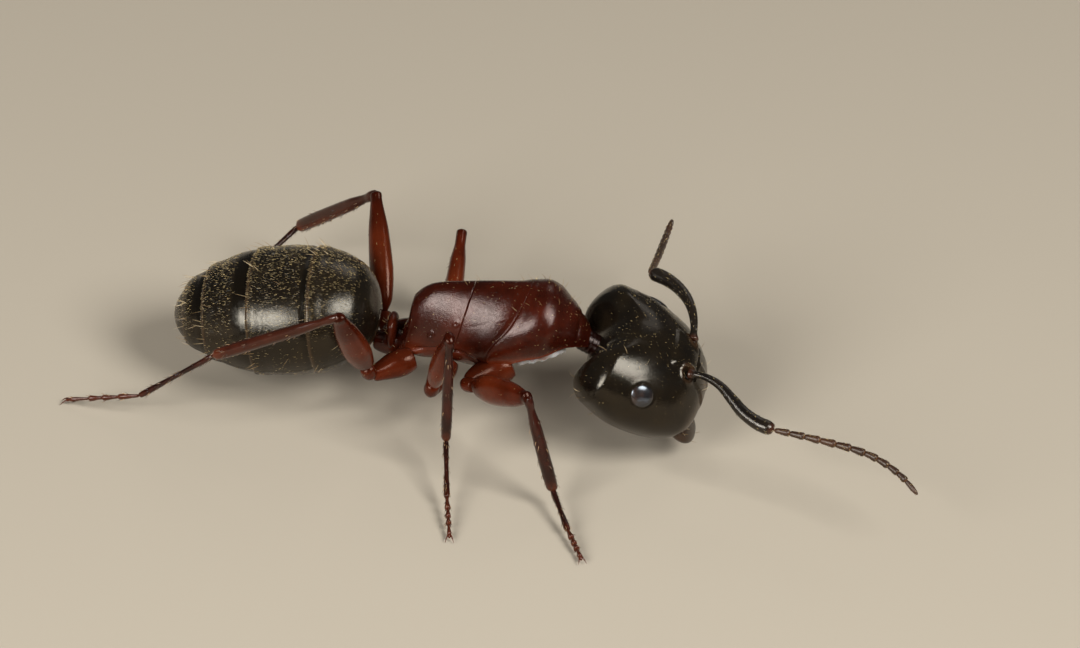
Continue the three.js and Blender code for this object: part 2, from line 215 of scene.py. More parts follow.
@dataclass
class Skin:
    """A closed surface in millimetres, with an unwrap of its own shape and values at its points."""

    points: Array
    faces: list[Array]
    corners: list[Array]
    fields: dict[str, Array] = field(default_factory=dict)

    def normals(self) -> Array:
        """The way out of the skin.

        Returns:
            The outward unit normal at each point.
        """
        total = np.zeros_like(self.points)
        for faces in self.faces:
            p = self.points[faces]
            across = p[:, -1] - p[:, 1] if faces.shape[1] == 4 else p[:, 2] - p[:, 1]
            along = p[:, 2] - p[:, 0] if faces.shape[1] == 4 else p[:, 1] - p[:, 0]
            normal = np.cross(along, across)
            for corner in faces.T:
                np.add.at(total, corner, normal)
        return unit(total)

    def raised(self, height: Array) -> "Skin":
        """The skin with each point moved out along its normal by a height."""
        moved = self.points + self.normals() * np.asarray(height)[:, None]
        return Skin(moved, self.faces, self.corners, self.fields)

    def placed(self, place: Place) -> "Skin":
        """The skin moved from a frame of its own into the part's frame.

        Args:
            place: its frame.

        Returns:
            The moved skin, with its fields of directions turned.
        """
        fields = {
            name: place.ways(values) if values.ndim == 2 else values for name, values in self.fields.items()
        }
        return Skin(place.points(self.points), self.faces, self.corners, fields)

    def with_fields(self, **fields: Array | float) -> "Skin":
        """The skin with more values at its points.

        Args:
            fields: values by name, one for each point or the same for all.

        Returns:
            The skin with the old values and the new ones.
        """
        full = {
            name: np.broadcast_to(np.asarray(value, float), (len(self.points),)).copy()
            if np.ndim(value) < 2 else np.asarray(value)
            for name, value in fields.items()
        }
        return Skin(self.points, self.faces, self.corners, {**self.fields, **full})


def joined(skins: Sequence[Skin]) -> Skin:
    """Several skins as one, each with its own strip of the unwrap.

    Args:
        skins: the skins, all with the same fields.

    Returns:
        One skin that holds them all.
    """
    offsets = np.cumsum([0] + [len(skin.points) for skin in skins])
    faces, corners = [], []
    for i, skin in enumerate(skins):
        for face, corner in zip(skin.faces, skin.corners):
            faces.append(face + offsets[i])
            corners.append((corner + np.array([i, 0])) / np.array([len(skins), 1]))
    shared = set.intersection(*(set(skin.fields) for skin in skins))
    fields = {name: np.concatenate([skin.fields[name] for skin in skins]) for name in sorted(shared)}
    return Skin(np.concatenate([skin.points for skin in skins]), faces, corners, fields)


def tube(rings: Array, start: Array, end: Array) -> Skin:
    """A closed skin through rings of points, with a pole at each end.

    Args:
        rings: an array of rings by points by 3.
        start: the pole before the first ring.
        end: the pole after the last ring.

    Returns:
        The skin, facing out, with a comb that runs from start to end.
    """
    rows, sides = rings.shape[:2]
    points = np.concatenate([[start], rings.reshape(-1, 3), [end]])
    i, j = (grid.ravel() for grid in np.meshgrid(np.arange(rows - 1), np.arange(sides), indexing="ij"))
    corners = ((i, j), (i, j + 1), (i + 1, j + 1), (i + 1, j))
    quads = np.stack([1 + row * sides + column % sides for row, column in corners], 1)
    flat = np.stack([np.stack([(row + 1) / (rows + 1), column / sides], 1) for row, column in corners], 1)
    skin = Skin(points, [quads], [flat])
    j = np.arange(sides)
    for pole, row, columns in ((0, 0, (j + 1, j)), (rows + 1, rows - 1, (j, j + 1))):
        tip = np.full(sides, 0 if pole == 0 else len(points) - 1)
        skin.faces.append(np.stack([tip] + [1 + row * sides + column % sides for column in columns], 1))
        places = [(pole / (rows + 1), (j + 0.5) / sides)]
        places += [((row + 1) / (rows + 1), column / sides) for column in columns]
        skin.corners.append(np.stack([np.stack([np.full(sides, u), v], 1) for u, v in places], 1))
    p = points[quads]
    volume = np.einsum("ij,ij->", p[:, 0], np.cross(p[:, 1], p[:, 2]))
    if volume < 0:
        skin.faces = [face[:, ::-1] for face in skin.faces]
        skin.corners = [corner[:, ::-1] for corner in skin.corners]
    comb = unit(np.gradient(rings, axis=0)).reshape(-1, 3)
    skin.fields["comb"] = np.concatenate([comb[:1], comb, comb[-1:]])
    return skin


def sweep(line: Array, broad: Array, thin: Array, flat: Array, sides: int) -> Skin:
    """A closed skin round a line.

    Args:
        line: points along the line, the first and last of which become the poles.
        broad: the half size across the flat at each point between the poles.
        thin: the half size through the flat there.
        flat: the direction that the flat faces.
        sides: points in a ring.

    Returns:
        The skin, with the share of its length in the field "along" and its turn in "turn".
    """
    tangents = unit(np.gradient(line, axis=0))[1:-1]
    through = unit(flat - tangents * (tangents @ flat)[:, None])
    across = np.cross(through, tangents)
    angle = np.arange(sides) / sides * 2 * math.pi
    rings = (
        line[1:-1, None]
        + across[:, None] * (np.cos(angle)[None, :] * broad[:, None])[..., None]
        + through[:, None] * (np.sin(angle)[None, :] * thin[:, None])[..., None]
    )
    steps = np.concatenate([[0], np.cumsum(np.linalg.norm(np.diff(line, axis=0), axis=1))])
    share = steps / steps[-1]
    along = np.concatenate([[0], np.repeat(share[1:-1], sides), [1]])
    turn = np.concatenate([[0], np.tile(angle, len(line) - 2), [0]])
    return tube(rings, line[0], line[-1]).with_fields(along=along, turn=turn)


def rod(start: Array, end: Array, profile: Curve, flat: Array, ratio: float = 1, count: int = 24,
        sides: int = 20) -> Skin:
    """A straight limb section with round ends.

    Args:
        start: its first end.
        end: its last end.
        profile: half size across by share of the length, 0 at both ends.
        flat: the direction that its flat faces.
        ratio: its size through the flat as a share of its size across.
        count: rings along it.
        sides: points in a ring.

    Returns:
        The skin.
    """
    share = np.concatenate([[0], crowded(count), [1]])
    line = start + (end - start) * share[:, None]
    size = profile(share[1:-1])
    return sweep(line, size, size * ratio, flat, sides)


# How a plate's cut edge rolls inwards: distance back from the edge, and share of the full size.
ROLLED_EDGE = ((0.0, 0.992), (0.008, 0.975), (0.02, 0.95), (0.03, 0.85), (0.035, 0.5))
EDGE_DEPTH = 0.04


@dataclass(frozen=True)
class Sections:
    """A plated body's cross-sections along x: middle, half width, rise, drop and lean."""

    rows: tuple[tuple[float, ...], ...]

    def column(self, index: int, is_size: bool) -> Curve:
        """One column of the table as a curve along x.

        Args:
            index: the column.
            is_size: whether it holds sizes, which close round where they are 0.

        Returns:
            The curve.
        """
        xs = [row[0] for row in self.rows]
        values = [row[index] for row in self.rows]
        return Curve(xs, values, squared=is_size)

    def rings(self, x: Array, turn: Array, scale: Array | float = 1) -> Array:
        """Rings of points round the body.

        Args:
            x: each ring's place along the body.
            turn: the angle of each point in a ring, from the left side upwards.
            scale: how much of the full size each ring has.

        Returns:
            An array of rings by points by 3.
        """
        scale = np.broadcast_to(scale, x.shape)[:, None]
        width, rise, drop = (self.column(index, True)(x)[:, None] for index in (2, 3, 4))
        middle, lean = (self.column(index, False)(x)[:, None] for index in (1, 5))
        up = np.sin(turn) * np.where(np.sin(turn) > 0, rise, drop) * scale
        return np.stack([x[:, None] + lean * up, np.cos(turn) * width * scale, middle + up], -1)

    def centre(self, x: float) -> Array:
        """The middle of the section at a place along the body."""
        return np.array([x, 0, float(self.column(1, False)(np.array(x)))])

    def plate(self, start: float | None, end: float | None, count: int, sides: int) -> Skin:
        """A closed plate between two places along the body, its cut ends rolled in.

        Args:
            start: its lower end along x, or None where the body closes round.
            end: its higher end along x, or None where the body closes round.
            count: rings along it.
            sides: points in a ring.

        Returns:
            The plate, with its place along x and its turn as fields.
        """
        low = self.rows[0][0] if start is None else start
        high = self.rows[-1][0] if end is None else end
        x = low + (high - low) * crowded(count, start is None, end is None)
        scale = np.ones(count)
        depth = np.array(ROLLED_EDGE)
        if start is not None:
            x = np.concatenate([(low + depth[:, 0])[::-1], x])
            scale = np.concatenate([depth[::-1, 1], scale])
        if end is not None:
            x = np.concatenate([x, high - depth[:, 0]])
            scale = np.concatenate([scale, depth[:, 1]])
        turn = np.arange(sides) / sides * 2 * math.pi
        poles = [
            self.centre(low if start is None else low + EDGE_DEPTH),
            self.centre(high if end is None else high - EDGE_DEPTH),
        ]
        skin = tube(self.rings(x, turn, scale), *poles)
        ends = [[low], [high]]
        return skin.with_fields(
            x=np.concatenate([ends[0], np.repeat(x, sides), ends[1]]),
            turn=np.concatenate([[math.pi / 2], np.tile(turn, len(x)), [math.pi / 2]]),
            edge=np.concatenate([[0], np.repeat(scale, sides), [0]]),
        )


# ---------- node trees ----------


class Value:
    """A number in a node tree, which Python's operators can work with."""

    def __init__(self, graph: "Graph", socket: bpy.types.NodeSocket) -> None:
        """Wraps a socket of a graph."""
        self.graph = graph
        self.socket = socket

    def _math(self, operation: str, *operands: "Value | float") -> "Value":
        """A Math node on some operands."""
        inputs = dict(enumerate(operands))
        return self.graph.value("ShaderNodeMath", {"operation": operation}, inputs)

    def __add__(self, other: "Value | float") -> "Value":
        """The sum."""
        return self._math("ADD", self, other)

    __radd__ = __add__

    def __sub__(self, other: "Value | float") -> "Value":
        """The difference."""
        return self._math("SUBTRACT", self, other)

    def __rsub__(self, other: "Value | float") -> "Value":
        """The difference from a number."""
        return self._math("SUBTRACT", other, self)

    def __mul__(self, other: "Value | float") -> "Value":
        """The product."""
        return self._math("MULTIPLY", self, other)

    __rmul__ = __mul__

    def __truediv__(self, other: "Value | float") -> "Value":
        """The quotient."""
        return self._math("DIVIDE", self, other)

    def __pow__(self, power: "Value | float") -> "Value":
        """The power."""
        return self._math("POWER", self, power)

    def between(self, low: float, high: float, to_low: float = 0, to_high: float = 1) -> "Value":
        """The value's smooth step from low to high, as a number from to_low to to_high."""
        inputs = {"Value": self, "From Min": low, "From Max": high, "To Min": to_low, "To Max": to_high}
        return self.graph.value("ShaderNodeMapRange", {"interpolation_type": "SMOOTHSTEP"}, inputs)


class Graph:
    """Adds nodes to one node tree."""

    def __init__(self, tree: bpy.types.NodeTree) -> None:
        """Starts from an empty tree."""
        self.tree = tree
        tree.nodes.clear()

    def node(self, kind: str, settings: dict | None = None, inputs: dict | None = None) -> bpy.types.Node:
        """Adds a node.

        Args:
            kind: the node's type.
            settings: its properties, set first. The key "stops" sets a ramp's stops.
            inputs: values or links by the input's name or number.

        Returns:
            The node.
        """
        node = self.tree.nodes.new(kind)
        for key, value in (settings or {}).items():
            if key == "stops":
                while len(node.color_ramp.elements) < len(value):
                    node.color_ramp.elements.new(0.5)
                for element, (position, colour) in zip(node.color_ramp.elements, value):
                    element.position = position
                    element.color = (*colour, 1)
            else:
                setattr(node, key, value)
        for key, value in (inputs or {}).items():
            if isinstance(key, int):
                socket = node.inputs[key]
            else:
                socket = next(s for s in node.inputs if s.name == key and s.enabled)
            if isinstance(value, Value):
                self.tree.links.new(value.socket, socket)
            elif isinstance(value, bpy.types.NodeSocket):
                self.tree.links.new(value, socket)
            elif isinstance(value, tuple) and len(value) == 3 and socket.type == "RGBA":
                socket.default_value = (*value, 1)
            else:
                socket.default_value = value
        return node

    def output(self, node: bpy.types.Node, name: str | None = None) -> bpy.types.NodeSocket:
        """A node's output by name, or its first one in use."""
        return next(s for s in node.outputs if s.enabled and (name is None or s.name == name))

    def value(self, kind: str, settings: dict | None = None, inputs: dict | None = None,
              output: str | None = None) -> Value:
        """Adds a node and wraps one of its outputs."""
        return Value(self, self.output(self.node(kind, settings, inputs), output))

    def mix(self, factor: Value | float, a: Value | Colour, b: Value | Colour, blend: str = "MIX") -> Value:
        """Mixes two colours.

        Args:
            factor: how much of b there is.
            a: the first colour.
            b: the second colour.
            blend: the way of mixing.

        Returns:
            The mixed colour.
        """
        settings = {"data_type": "RGBA", "blend_type": blend}
        return self.value("ShaderNodeMix", settings, {"Factor": factor, "A": a, "B": b}, "Result")

    def vector(self, operation: str, *operands: Value | tuple) -> Value:
        """A Vector Math node on some operands."""
        return self.value("ShaderNodeVectorMath", {"operation": operation}, dict(enumerate(operands)))

    def millimetres(self, stretch: tuple[float, float, float] = (1, 1, 1)) -> Value:
        """The place on the object in millimetres, stretched along its axes."""
        place = self.value("ShaderNodeTexCoord", output="Object")
        return self.vector("MULTIPLY", place, tuple(s / MM for s in stretch))

    def noise(self, where: Value, size: float, detail: float = 2, roughness: float = 0.5) -> Value:
        """Noise with features of a size in millimetres, from 0 to 1."""
        inputs = {"Vector": where, "Scale": 1 / size, "Detail": detail, "Roughness": roughness}
        return self.value("ShaderNodeTexNoise", {}, inputs, "Fac")

    def cells(self, where: Value, size: float, feature: str = "DISTANCE_TO_EDGE") -> Value:
        """Distances in a pattern of cells of a size in millimetres."""
        settings = {"feature": feature}
        return self.value("ShaderNodeTexVoronoi", settings, {"Vector": where, "Scale": 1 / size}, "Distance")

    def attribute(self, name: str) -> Value:
        """A value stored at the piece's points."""
        return self.value("ShaderNodeAttribute", {"attribute_name": name}, {}, "Fac")

    def relief(self, height: Value, depth: float, normal: Value | None = None) -> Value:
        """A bump.

        Args:
            height: its pattern, from 0 to 1.
            depth: its depth in millimetres.
            normal: the bump that it lies over, if any.

        Returns:
            The normal.
        """
        inputs: dict = {"Height": height, "Distance": depth * MM, "Strength": 1.0}
        if normal is not None:
            inputs["Normal"] = normal
        return self.value("ShaderNodeBump", {}, inputs, "Normal")


# ---------- finishes ----------


CHITIN_IOR = 1.55


@dataclass(frozen=True)
class Finish:
    """A surface's finish, made once as a material."""

    name: str

    def shader(self, graph: Graph) -> bpy.types.Node:
        """The finish's shader."""
        raise NotImplementedError

    def material(self) -> bpy.types.Material:
        """The finish on its own.

        Returns:
            The material, the same one each time.
        """
        made = bpy.data.materials.get(self.name)
        if made is None:
            made = bpy.data.materials.new(self.name)
            made.use_nodes = True
            graph = Graph(made.node_tree)
            surface = graph.output(self.shader(graph))
            graph.node("ShaderNodeOutputMaterial", {}, {"Surface": surface})
        return made


@dataclass(frozen=True)
class Shell(Finish):
    """Hard shell: patches of two tones, a warm tone where a piece says so, and a fine leathery grain."""

    dark: Colour
    mid: Colour
    warm: Colour
    roughness: float = 0.3
    uneven: float = 0.14
    blotch: float = 0.9
    grain: float = 0.03
    grain_depth: float = 0.002
    wave: float = 0.22
    wave_depth: float = 0.004
    specular: float = 0.5
    sheen_tint: Colour = (1.0, 0.84, 0.68)
    glow: float = 0.0
    glow_depth: float = 0.12
    speck: float = 0.06
    speck_strength: float = 0.35
    dull_roughness: float = 0.25
    shade_tone: float = 0.25

    def shader(self, graph: Graph) -> bpy.types.Node:
        """Patches, specks and grain on a slightly uneven surface.

        Args:
            graph: what adds the nodes.

        Returns:
            The shader.
        """
        where = graph.millimetres()
        patches = graph.noise(where, self.blotch, 4, 0.6).between(0.35, 0.68)
        specks = graph.noise(where, self.speck, 2).between(0.55, 0.75)
        colour = graph.mix(patches, self.dark, self.mid)
        colour = graph.mix(graph.attribute("warm"), colour, self.warm)
        colour = graph.mix(specks * self.speck_strength, colour, self.dark)
        shaded = tuple(tone * self.shade_tone for tone in self.dark)
        colour = graph.mix(graph.attribute("shade"), colour, shaded)
        uneven = graph.noise(where, 0.2, 3) * self.uneven + (self.roughness - self.uneven / 2)
        roughness = uneven + graph.attribute("dull") * self.dull_roughness
        waves = graph.relief(graph.noise(where, self.wave, 3), self.wave_depth)
        grain = graph.cells(where, self.grain).between(0.0, 0.3)
        normal = graph.relief(grain, self.grain_depth, waves)
        inputs = {
            "Base Color": colour,
            "Roughness": roughness,
            "Normal": normal,
            "IOR": CHITIN_IOR,
            "Specular IOR Level": self.specular,
            "Specular Tint": (*self.sheen_tint, 1.0),
            "Subsurface Weight": self.glow,
            "Subsurface Radius": (1.0, 0.35, 0.15),
            "Subsurface Scale": self.glow_depth * MM,
        }
        return graph.node("ShaderNodeBsdfPrincipled", {}, inputs)


@dataclass(frozen=True)
class EyeGlass(Finish):
    """The dark glassy facets of an eye, brown in the deep."""

    dark: Colour = (0.004, 0.0035, 0.004)
    deep: Colour = (0.05, 0.022, 0.012)
    roughness: float = 0.18
    ior: float = 1.62
    coat: float = 0.35
    coat_roughness: float = 0.12

    def shader(self, graph: Graph) -> bpy.types.Node:
        """Glossy facets over two deep tones.

        Args:
            graph: what adds the nodes.

        Returns:
            The shader.
        """
        where = graph.millimetres()
        tone = graph.noise(where, 0.25, 2).between(0.4, 0.75)
        inputs = {
            "Base Color": graph.mix(tone * 0.6, self.dark, self.deep),
            "Roughness": graph.noise(where, 0.08) * 0.06 + self.roughness,
            "IOR": self.ior,
            "Coat Weight": self.coat,
            "Coat Roughness": self.coat_roughness,
        }
        return graph.node("ShaderNodeBsdfPrincipled", {}, inputs)


@dataclass(frozen=True)
class Hair(Finish):
    """Hair, each strand of a tone of its own between two."""

    dark: Colour
    light: Colour
    roughness: float = 0.2

    def shader(self, graph: Graph) -> bpy.types.Node:
        """A satin strand, most often near its dark tone; the rare light strands are partly the hair's own
        gold and partly painted glints.

        Args:
            graph: what adds the nodes.

        Returns:
            The shader.
        """
        tone = graph.attribute("tone")
        inputs = {
            # Few strands reach the light tone: real golden hair, brightened further as painted glints.
            "Base Color": graph.mix(tone * tone * tone, self.dark, self.light),
            "Roughness": tone * 0.1 + self.roughness,
            "IOR": CHITIN_IOR,
            "Specular IOR Level": 1.0,
        }
        return graph.node("ShaderNodeBsdfPrincipled", {}, inputs)


@dataclass(frozen=True)
class Membrane(Finish):
    """Pale soft skin between plates."""

    pale: Colour = (0.55, 0.5, 0.46)
    stained: Colour = (0.22, 0.11, 0.07)
    wrinkle: float = 0.12
    wrinkle_depth: float = 0.03
    glow: float = 0.3
    glow_depth: float = 0.1

    def shader(self, graph: Graph) -> bpy.types.Node:
        """Wrinkled matt skin with brown stains.

        Args:
            graph: what adds the nodes.

        Returns:
            The shader.
        """
        where = graph.millimetres()
        stain = graph.noise(where, 0.25, 3).between(0.45, 0.7)
        wrinkles = graph.noise(graph.millimetres((1, 3, 3)), self.wrinkle, 3)
        inputs = {
            "Base Color": graph.mix(stain, self.pale, self.stained),
            "Roughness": stain * 0.2 + 0.5,
            "Normal": graph.relief(wrinkles, self.wrinkle_depth),
            "Subsurface Weight": self.glow,
            "Subsurface Radius": (1.0, 0.5, 0.3),
            "Subsurface Scale": self.glow_depth * MM,
        }
        return graph.node("ShaderNodeBsdfPrincipled", {}, inputs)


@dataclass(frozen=True)
class Paper(Finish):
    """A plain pale floor."""

    tone: Colour = (0.44, 0.35, 0.25)
    cloud: float = 30.0
    contrast: float = 1.04

    def shader(self, graph: Graph) -> bpy.types.Node:
        """Matt, with the faintest cloudiness.

        Args:
            graph: what adds the nodes.

        Returns:
            The shader.
        """
        clouds = graph.noise(graph.millimetres(), self.cloud, 3)
        lighter = tuple(min(1.0, channel * self.contrast) for channel in self.tone)
        inputs = {"Base Color": graph.mix(clouds, self.tone, lighter), "Roughness": clouds * 0.1 + 0.7}
        return graph.node("ShaderNodeBsdfPrincipled", {}, inputs)


HEAD_SHELL = Shell(
    "head shell", (0.004, 0.0028, 0.0018), (0.01, 0.0062, 0.003), (0.05, 0.022, 0.009),
    roughness=0.15, uneven=0.08, grain=0.045, grain_depth=0.0009, wave_depth=0.003, specular=0.34,
    sheen_tint=(1.0, 0.84, 0.64),
)
SCAPE_SHELL = Shell(
    "scape shell", (0.005, 0.0035, 0.0026), (0.012, 0.0075, 0.0045), (0.06, 0.016, 0.007),
    roughness=0.2, grain=0.025, grain_depth=0.0008, specular=0.45,
)
LASH_SHELL = Shell(
    "lash shell", (0.02, 0.0075, 0.0035), (0.05, 0.017, 0.007), (0.17, 0.075, 0.03),
    roughness=0.36, grain=0.02, grain_depth=0.0008, specular=0.45,
)
JAW_SHELL = Shell(
    "jaw shell", (0.005, 0.0032, 0.0024), (0.012, 0.006, 0.0035), (0.04, 0.014, 0.006),
    roughness=0.2, grain_depth=0.0006, glow=0.08,
)
TRUNK_SHELL = Shell(
    "trunk shell", (0.022, 0.0028, 0.001), (0.048, 0.0056, 0.0016), (0.18, 0.026, 0.007),
    roughness=0.2, uneven=0.08, blotch=0.7, grain=0.035, grain_depth=0.0011, wave_depth=0.004,
    specular=0.28, sheen_tint=(1.0, 0.76, 0.64), glow=0.04,
)
LEG_SHELL = Shell(
    "leg shell", (0.028, 0.003, 0.0009), (0.064, 0.0075, 0.002), (0.21, 0.034, 0.008),
    roughness=0.17, blotch=0.6, grain_depth=0.0007, wave_depth=0.004, specular=0.2,
    sheen_tint=(1.0, 0.6, 0.42), glow=0.06,
)
SHANK_SHELL = Shell(
    "shank shell", (0.011, 0.0028, 0.0018), (0.03, 0.0056, 0.003), (0.12, 0.024, 0.008),
    roughness=0.16, uneven=0.08, blotch=0.5, grain_depth=0.0005, wave_depth=0.002, specular=0.34,
    sheen_tint=(1.0, 0.8, 0.68), glow=0.03,
)
GASTER_SHELL = Shell(
    "gaster shell", (0.0045, 0.003, 0.0018), (0.011, 0.0068, 0.0032), (0.06, 0.03, 0.012),
    roughness=0.18, uneven=0.08, grain=0.03, grain_depth=0.0009, wave_depth=0.003, specular=0.38,
    sheen_tint=(1.0, 0.84, 0.64),
)
EYE_GLASS = EyeGlass("eye glass")
MEMBRANE = Membrane("joint membrane")
GOLDEN_DOWN = Hair("golden down", (0.035, 0.02, 0.008), (1.0, 0.68, 0.26))
GOLDEN_BRISTLE = Hair("golden bristle", (0.3, 0.17, 0.06), (0.85, 0.62, 0.32))
RED_BRISTLE = Hair("red bristle", (0.05, 0.015, 0.006), (0.6, 0.34, 0.14))
WHITE_DOWN = Hair("white down", (0.5, 0.46, 0.4), (0.9, 0.87, 0.8))


# ---------- pieces and coats ----------


def skin_mesh(skin: Skin, name: str) -> bpy.types.Mesh:
    """A skin as a mesh in metres, with its unwrap and the values at its points.

    Args:
        skin: the skin in millimetres.
        name: the mesh's name.

    Returns:
        The mesh, shaded smooth.
    """
    mesh = bpy.data.meshes.new(name)
    faces = [face for group in skin.faces for face in group.tolist()]
    mesh.from_pydata((skin.points * MM).tolist(), [], faces)
    flat = np.concatenate([corner.reshape(-1, 2) for corner in skin.corners])
    mesh.uv_layers.new(name=UNWRAP).uv.foreach_set("vector", flat.astype(np.float32).ravel())
    for key, values in skin.fields.items():
        kind, slot = ("FLOAT_VECTOR", "vector") if values.ndim == 2 else ("FLOAT", "value")
        mesh.attributes.new(key, kind, "POINT").data.foreach_set(slot, values.astype(np.float32).ravel())
    mesh.shade_smooth()
    return mesh


def add_piece(name: str, mesh: bpy.types.Mesh, finish: Finish, slot: str, *nodes: str) -> bpy.types.Object:
    """Adds a finished piece to the ant.

    Args:
        name: the piece's name.
        mesh: its mesh, in place.
        finish: its finish.
        slot: not used.
        nodes: the solids that it stands for.

    Returns:
        The piece.
    """
    mesh.materials.clear()
    mesh.materials.append(finish.material())
    piece = bpy.data.objects.new(name, mesh)
    bpy.context.scene.collection.objects.link(piece)
    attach(piece, BODY)
    if nodes:
        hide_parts(*nodes)
    triangles = sum(len(polygon.vertices) - 2 for polygon in mesh.polygons)
    LOG.info("piece %s: %d triangles, stands for %s", name, triangles, ", ".join(nodes) or "no solid")
    return piece


class GrowTree:
    """A Geometry Nodes tree with named inputs, which turns a mesh into another one."""

    def __init__(self, name: str, inputs: dict[str, str]) -> None:
        """Makes the tree and its inputs.

        Args:
            name: the tree's name.
            inputs: socket types by input name, besides Geometry.
        """
        self.tree = bpy.data.node_groups.new(name, "GeometryNodeTree")
        self.tree.interface.new_socket("Geometry", in_out="INPUT", socket_type="NodeSocketGeometry")
        self.keys = {
            key: self.tree.interface.new_socket(key, in_out="INPUT", socket_type=kind).identifier
            for key, kind in inputs.items()
        }
        self.tree.interface.new_socket("Geometry", in_out="OUTPUT", socket_type="NodeSocketGeometry")
        self.graph = Graph(self.tree)
        self.entry = self.graph.node("NodeGroupInput")

    def read(self, name: str) -> Value:
        """One of the tree's inputs."""
        return Value(self.graph, self.graph.output(self.entry, name))

    def named(self, name: str, kind: str = "FLOAT") -> Value:
        """A value stored on the geometry."""
        node = self.graph.node("GeometryNodeInputNamedAttribute", {"data_type": kind}, {"Name": name})
        return Value(self.graph, self.graph.output(node, "Attribute"))

    def random(self, low: float, high: float, salt: int, kind: str = "FLOAT") -> Value:
        """A random number or vector for each point.

        Args:
            low: its least value.
            high: its greatest value.
            salt: a number that sets it apart from the tree's other random numbers.
            kind: FLOAT or FLOAT_VECTOR.

        Returns:
            The value.
        """
        ends = {"Min": low, "Max": high} if kind == "FLOAT" else {"Min": (low,) * 3, "Max": (high,) * 3}
        inputs = {**ends, "Seed": self.read("Seed") + salt}
        return self.graph.value("FunctionNodeRandomValue", {"data_type": kind}, inputs)

    def close(self, geometry: Value) -> None:
        """Ends the tree: instances made real and the finish set.

        Args:
            geometry: what the tree made.
        """
        real = self.graph.value("GeometryNodeRealizeInstances", {}, {"Geometry": geometry})
        inputs = {"Geometry": self.finish(real), "Material": self.read("Finish")}
        done = self.graph.value("GeometryNodeSetMaterial", {}, inputs)
        self.graph.node("NodeGroupOutput", {}, {"Geometry": done})

    def finish(self, geometry: Value) -> Value:
        """What is still done to the real geometry: nothing, unless a tree says so."""
        return geometry

    def result(self, host: bpy.types.Mesh, name: str, values: dict) -> bpy.types.Mesh:
        """Runs the tree on a mesh.

        Args:
            host: the mesh that it starts from.
            name: the name of the mesh it makes.
            values: the inputs by name.

        Returns:
            A plain mesh.
        """
        holder = bpy.data.objects.new(name, host)
        bpy.context.scene.collection.objects.link(holder)
        modifier = holder.modifiers.new(name, "NODES")
        modifier.node_group = self.tree
        for key, value in values.items():
            modifier[self.keys[key]] = value
        graph = bpy.context.evaluated_depsgraph_get()
        mesh = bpy.data.meshes.new_from_object(holder.evaluated_get(graph), depsgraph=graph)
        mesh.name = name
        holder.modifiers.clear()
        bpy.data.objects.remove(holder)
        return mesh


# A hair's own map while it is a lone strand, and how broad its patch of the skin's unwrap is.
BLADE = "Blade"
PATCH = 0.003


class CoatTree(GrowTree):
    """Plants hairs on a skin, combed along it, each at its root's place on the unwrap."""

    def __init__(self) -> None:
        """Builds the tree."""
        numbers = ("Hairs per area", "Length", "Width", "Lift", "Stray")
        inputs = {"Hair": "NodeSocketObject", **{key: "NodeSocketFloat" for key in numbers}}
        super().__init__("Plant hairs", {**inputs, "Seed": "NodeSocketInt", "Finish": "NodeSocketMaterial"})
        graph = self.graph
        inputs = {
            "Mesh": self.read("Geometry"),
            "Density": self.read("Hairs per area") * self.named("density"),
            "Seed": self.read("Seed"),
        }
        planted = graph.node("GeometryNodeDistributePointsOnFaces", {"distribute_method": "RANDOM"}, inputs)
        normal = Value(graph, graph.output(planted, "Normal"))
        inputs = {
            "Geometry": Value(graph, graph.output(planted, "Points")),
            "Name": "tone",
            "Value": self.random(0, 1, 11),
        }
        points = graph.value("GeometryNodeStoreNamedAttribute", {"data_type": "FLOAT"}, inputs)
        lift = self.read("Lift")
        lying = graph.vector("MULTIPLY", self.named("comb", "FLOAT_VECTOR"), 1 - lift)
        standing = graph.vector("MULTIPLY", normal, lift)
        stray = graph.vector("MULTIPLY", self.random(-1, 1, 23, "FLOAT_VECTOR"), self.read("Stray"))
        way = graph.vector("ADD", graph.vector("ADD", lying, standing), stray)
        turn = graph.value(
            "FunctionNodeAxesToRotation",
            {"primary_axis": "Z", "secondary_axis": "X"},
            {"Primary Axis": way, "Secondary Axis": normal},
        )
        length = self.read("Length") * self.random(0.5, 1, 37) * self.named("reach")
        width = self.read("Width") * self.random(0.75, 1.1, 41)
        size = graph.value("ShaderNodeCombineXYZ", {}, {"X": width, "Y": width, "Z": length})
        inputs = {"Object": self.read("Hair"), "As Instance": False}
        shape = graph.value("GeometryNodeObjectInfo", {}, inputs, "Geometry")
        inputs = {"Points": points, "Instance": shape, "Rotation": turn, "Scale": size}
        self.close(graph.value("GeometryNodeInstanceOnPoints", {}, inputs))

    def finish(self, geometry: Value) -> Value:
        """Gives each hair a small patch of the skin's unwrap.

        Args:
            geometry: the real hairs.

        Returns:
            The hairs with the patch as a map.
        """
        graph = self.graph
        patch = graph.vector("SUBTRACT", self.named(BLADE, "FLOAT_VECTOR"), (0.5, 0.5, 0))
        patch = graph.vector("MULTIPLY", patch, (PATCH, PATCH, 0))
        place = graph.vector("ADD", self.named(UNWRAP, "FLOAT_VECTOR"), patch)
        inputs = {"Geometry": geometry, "Name": BAKE_MAP, "Value": place}
        settings = {"data_type": "FLOAT2", "domain": "CORNER"}
        return graph.value("GeometryNodeStoreNamedAttribute", settings, inputs)


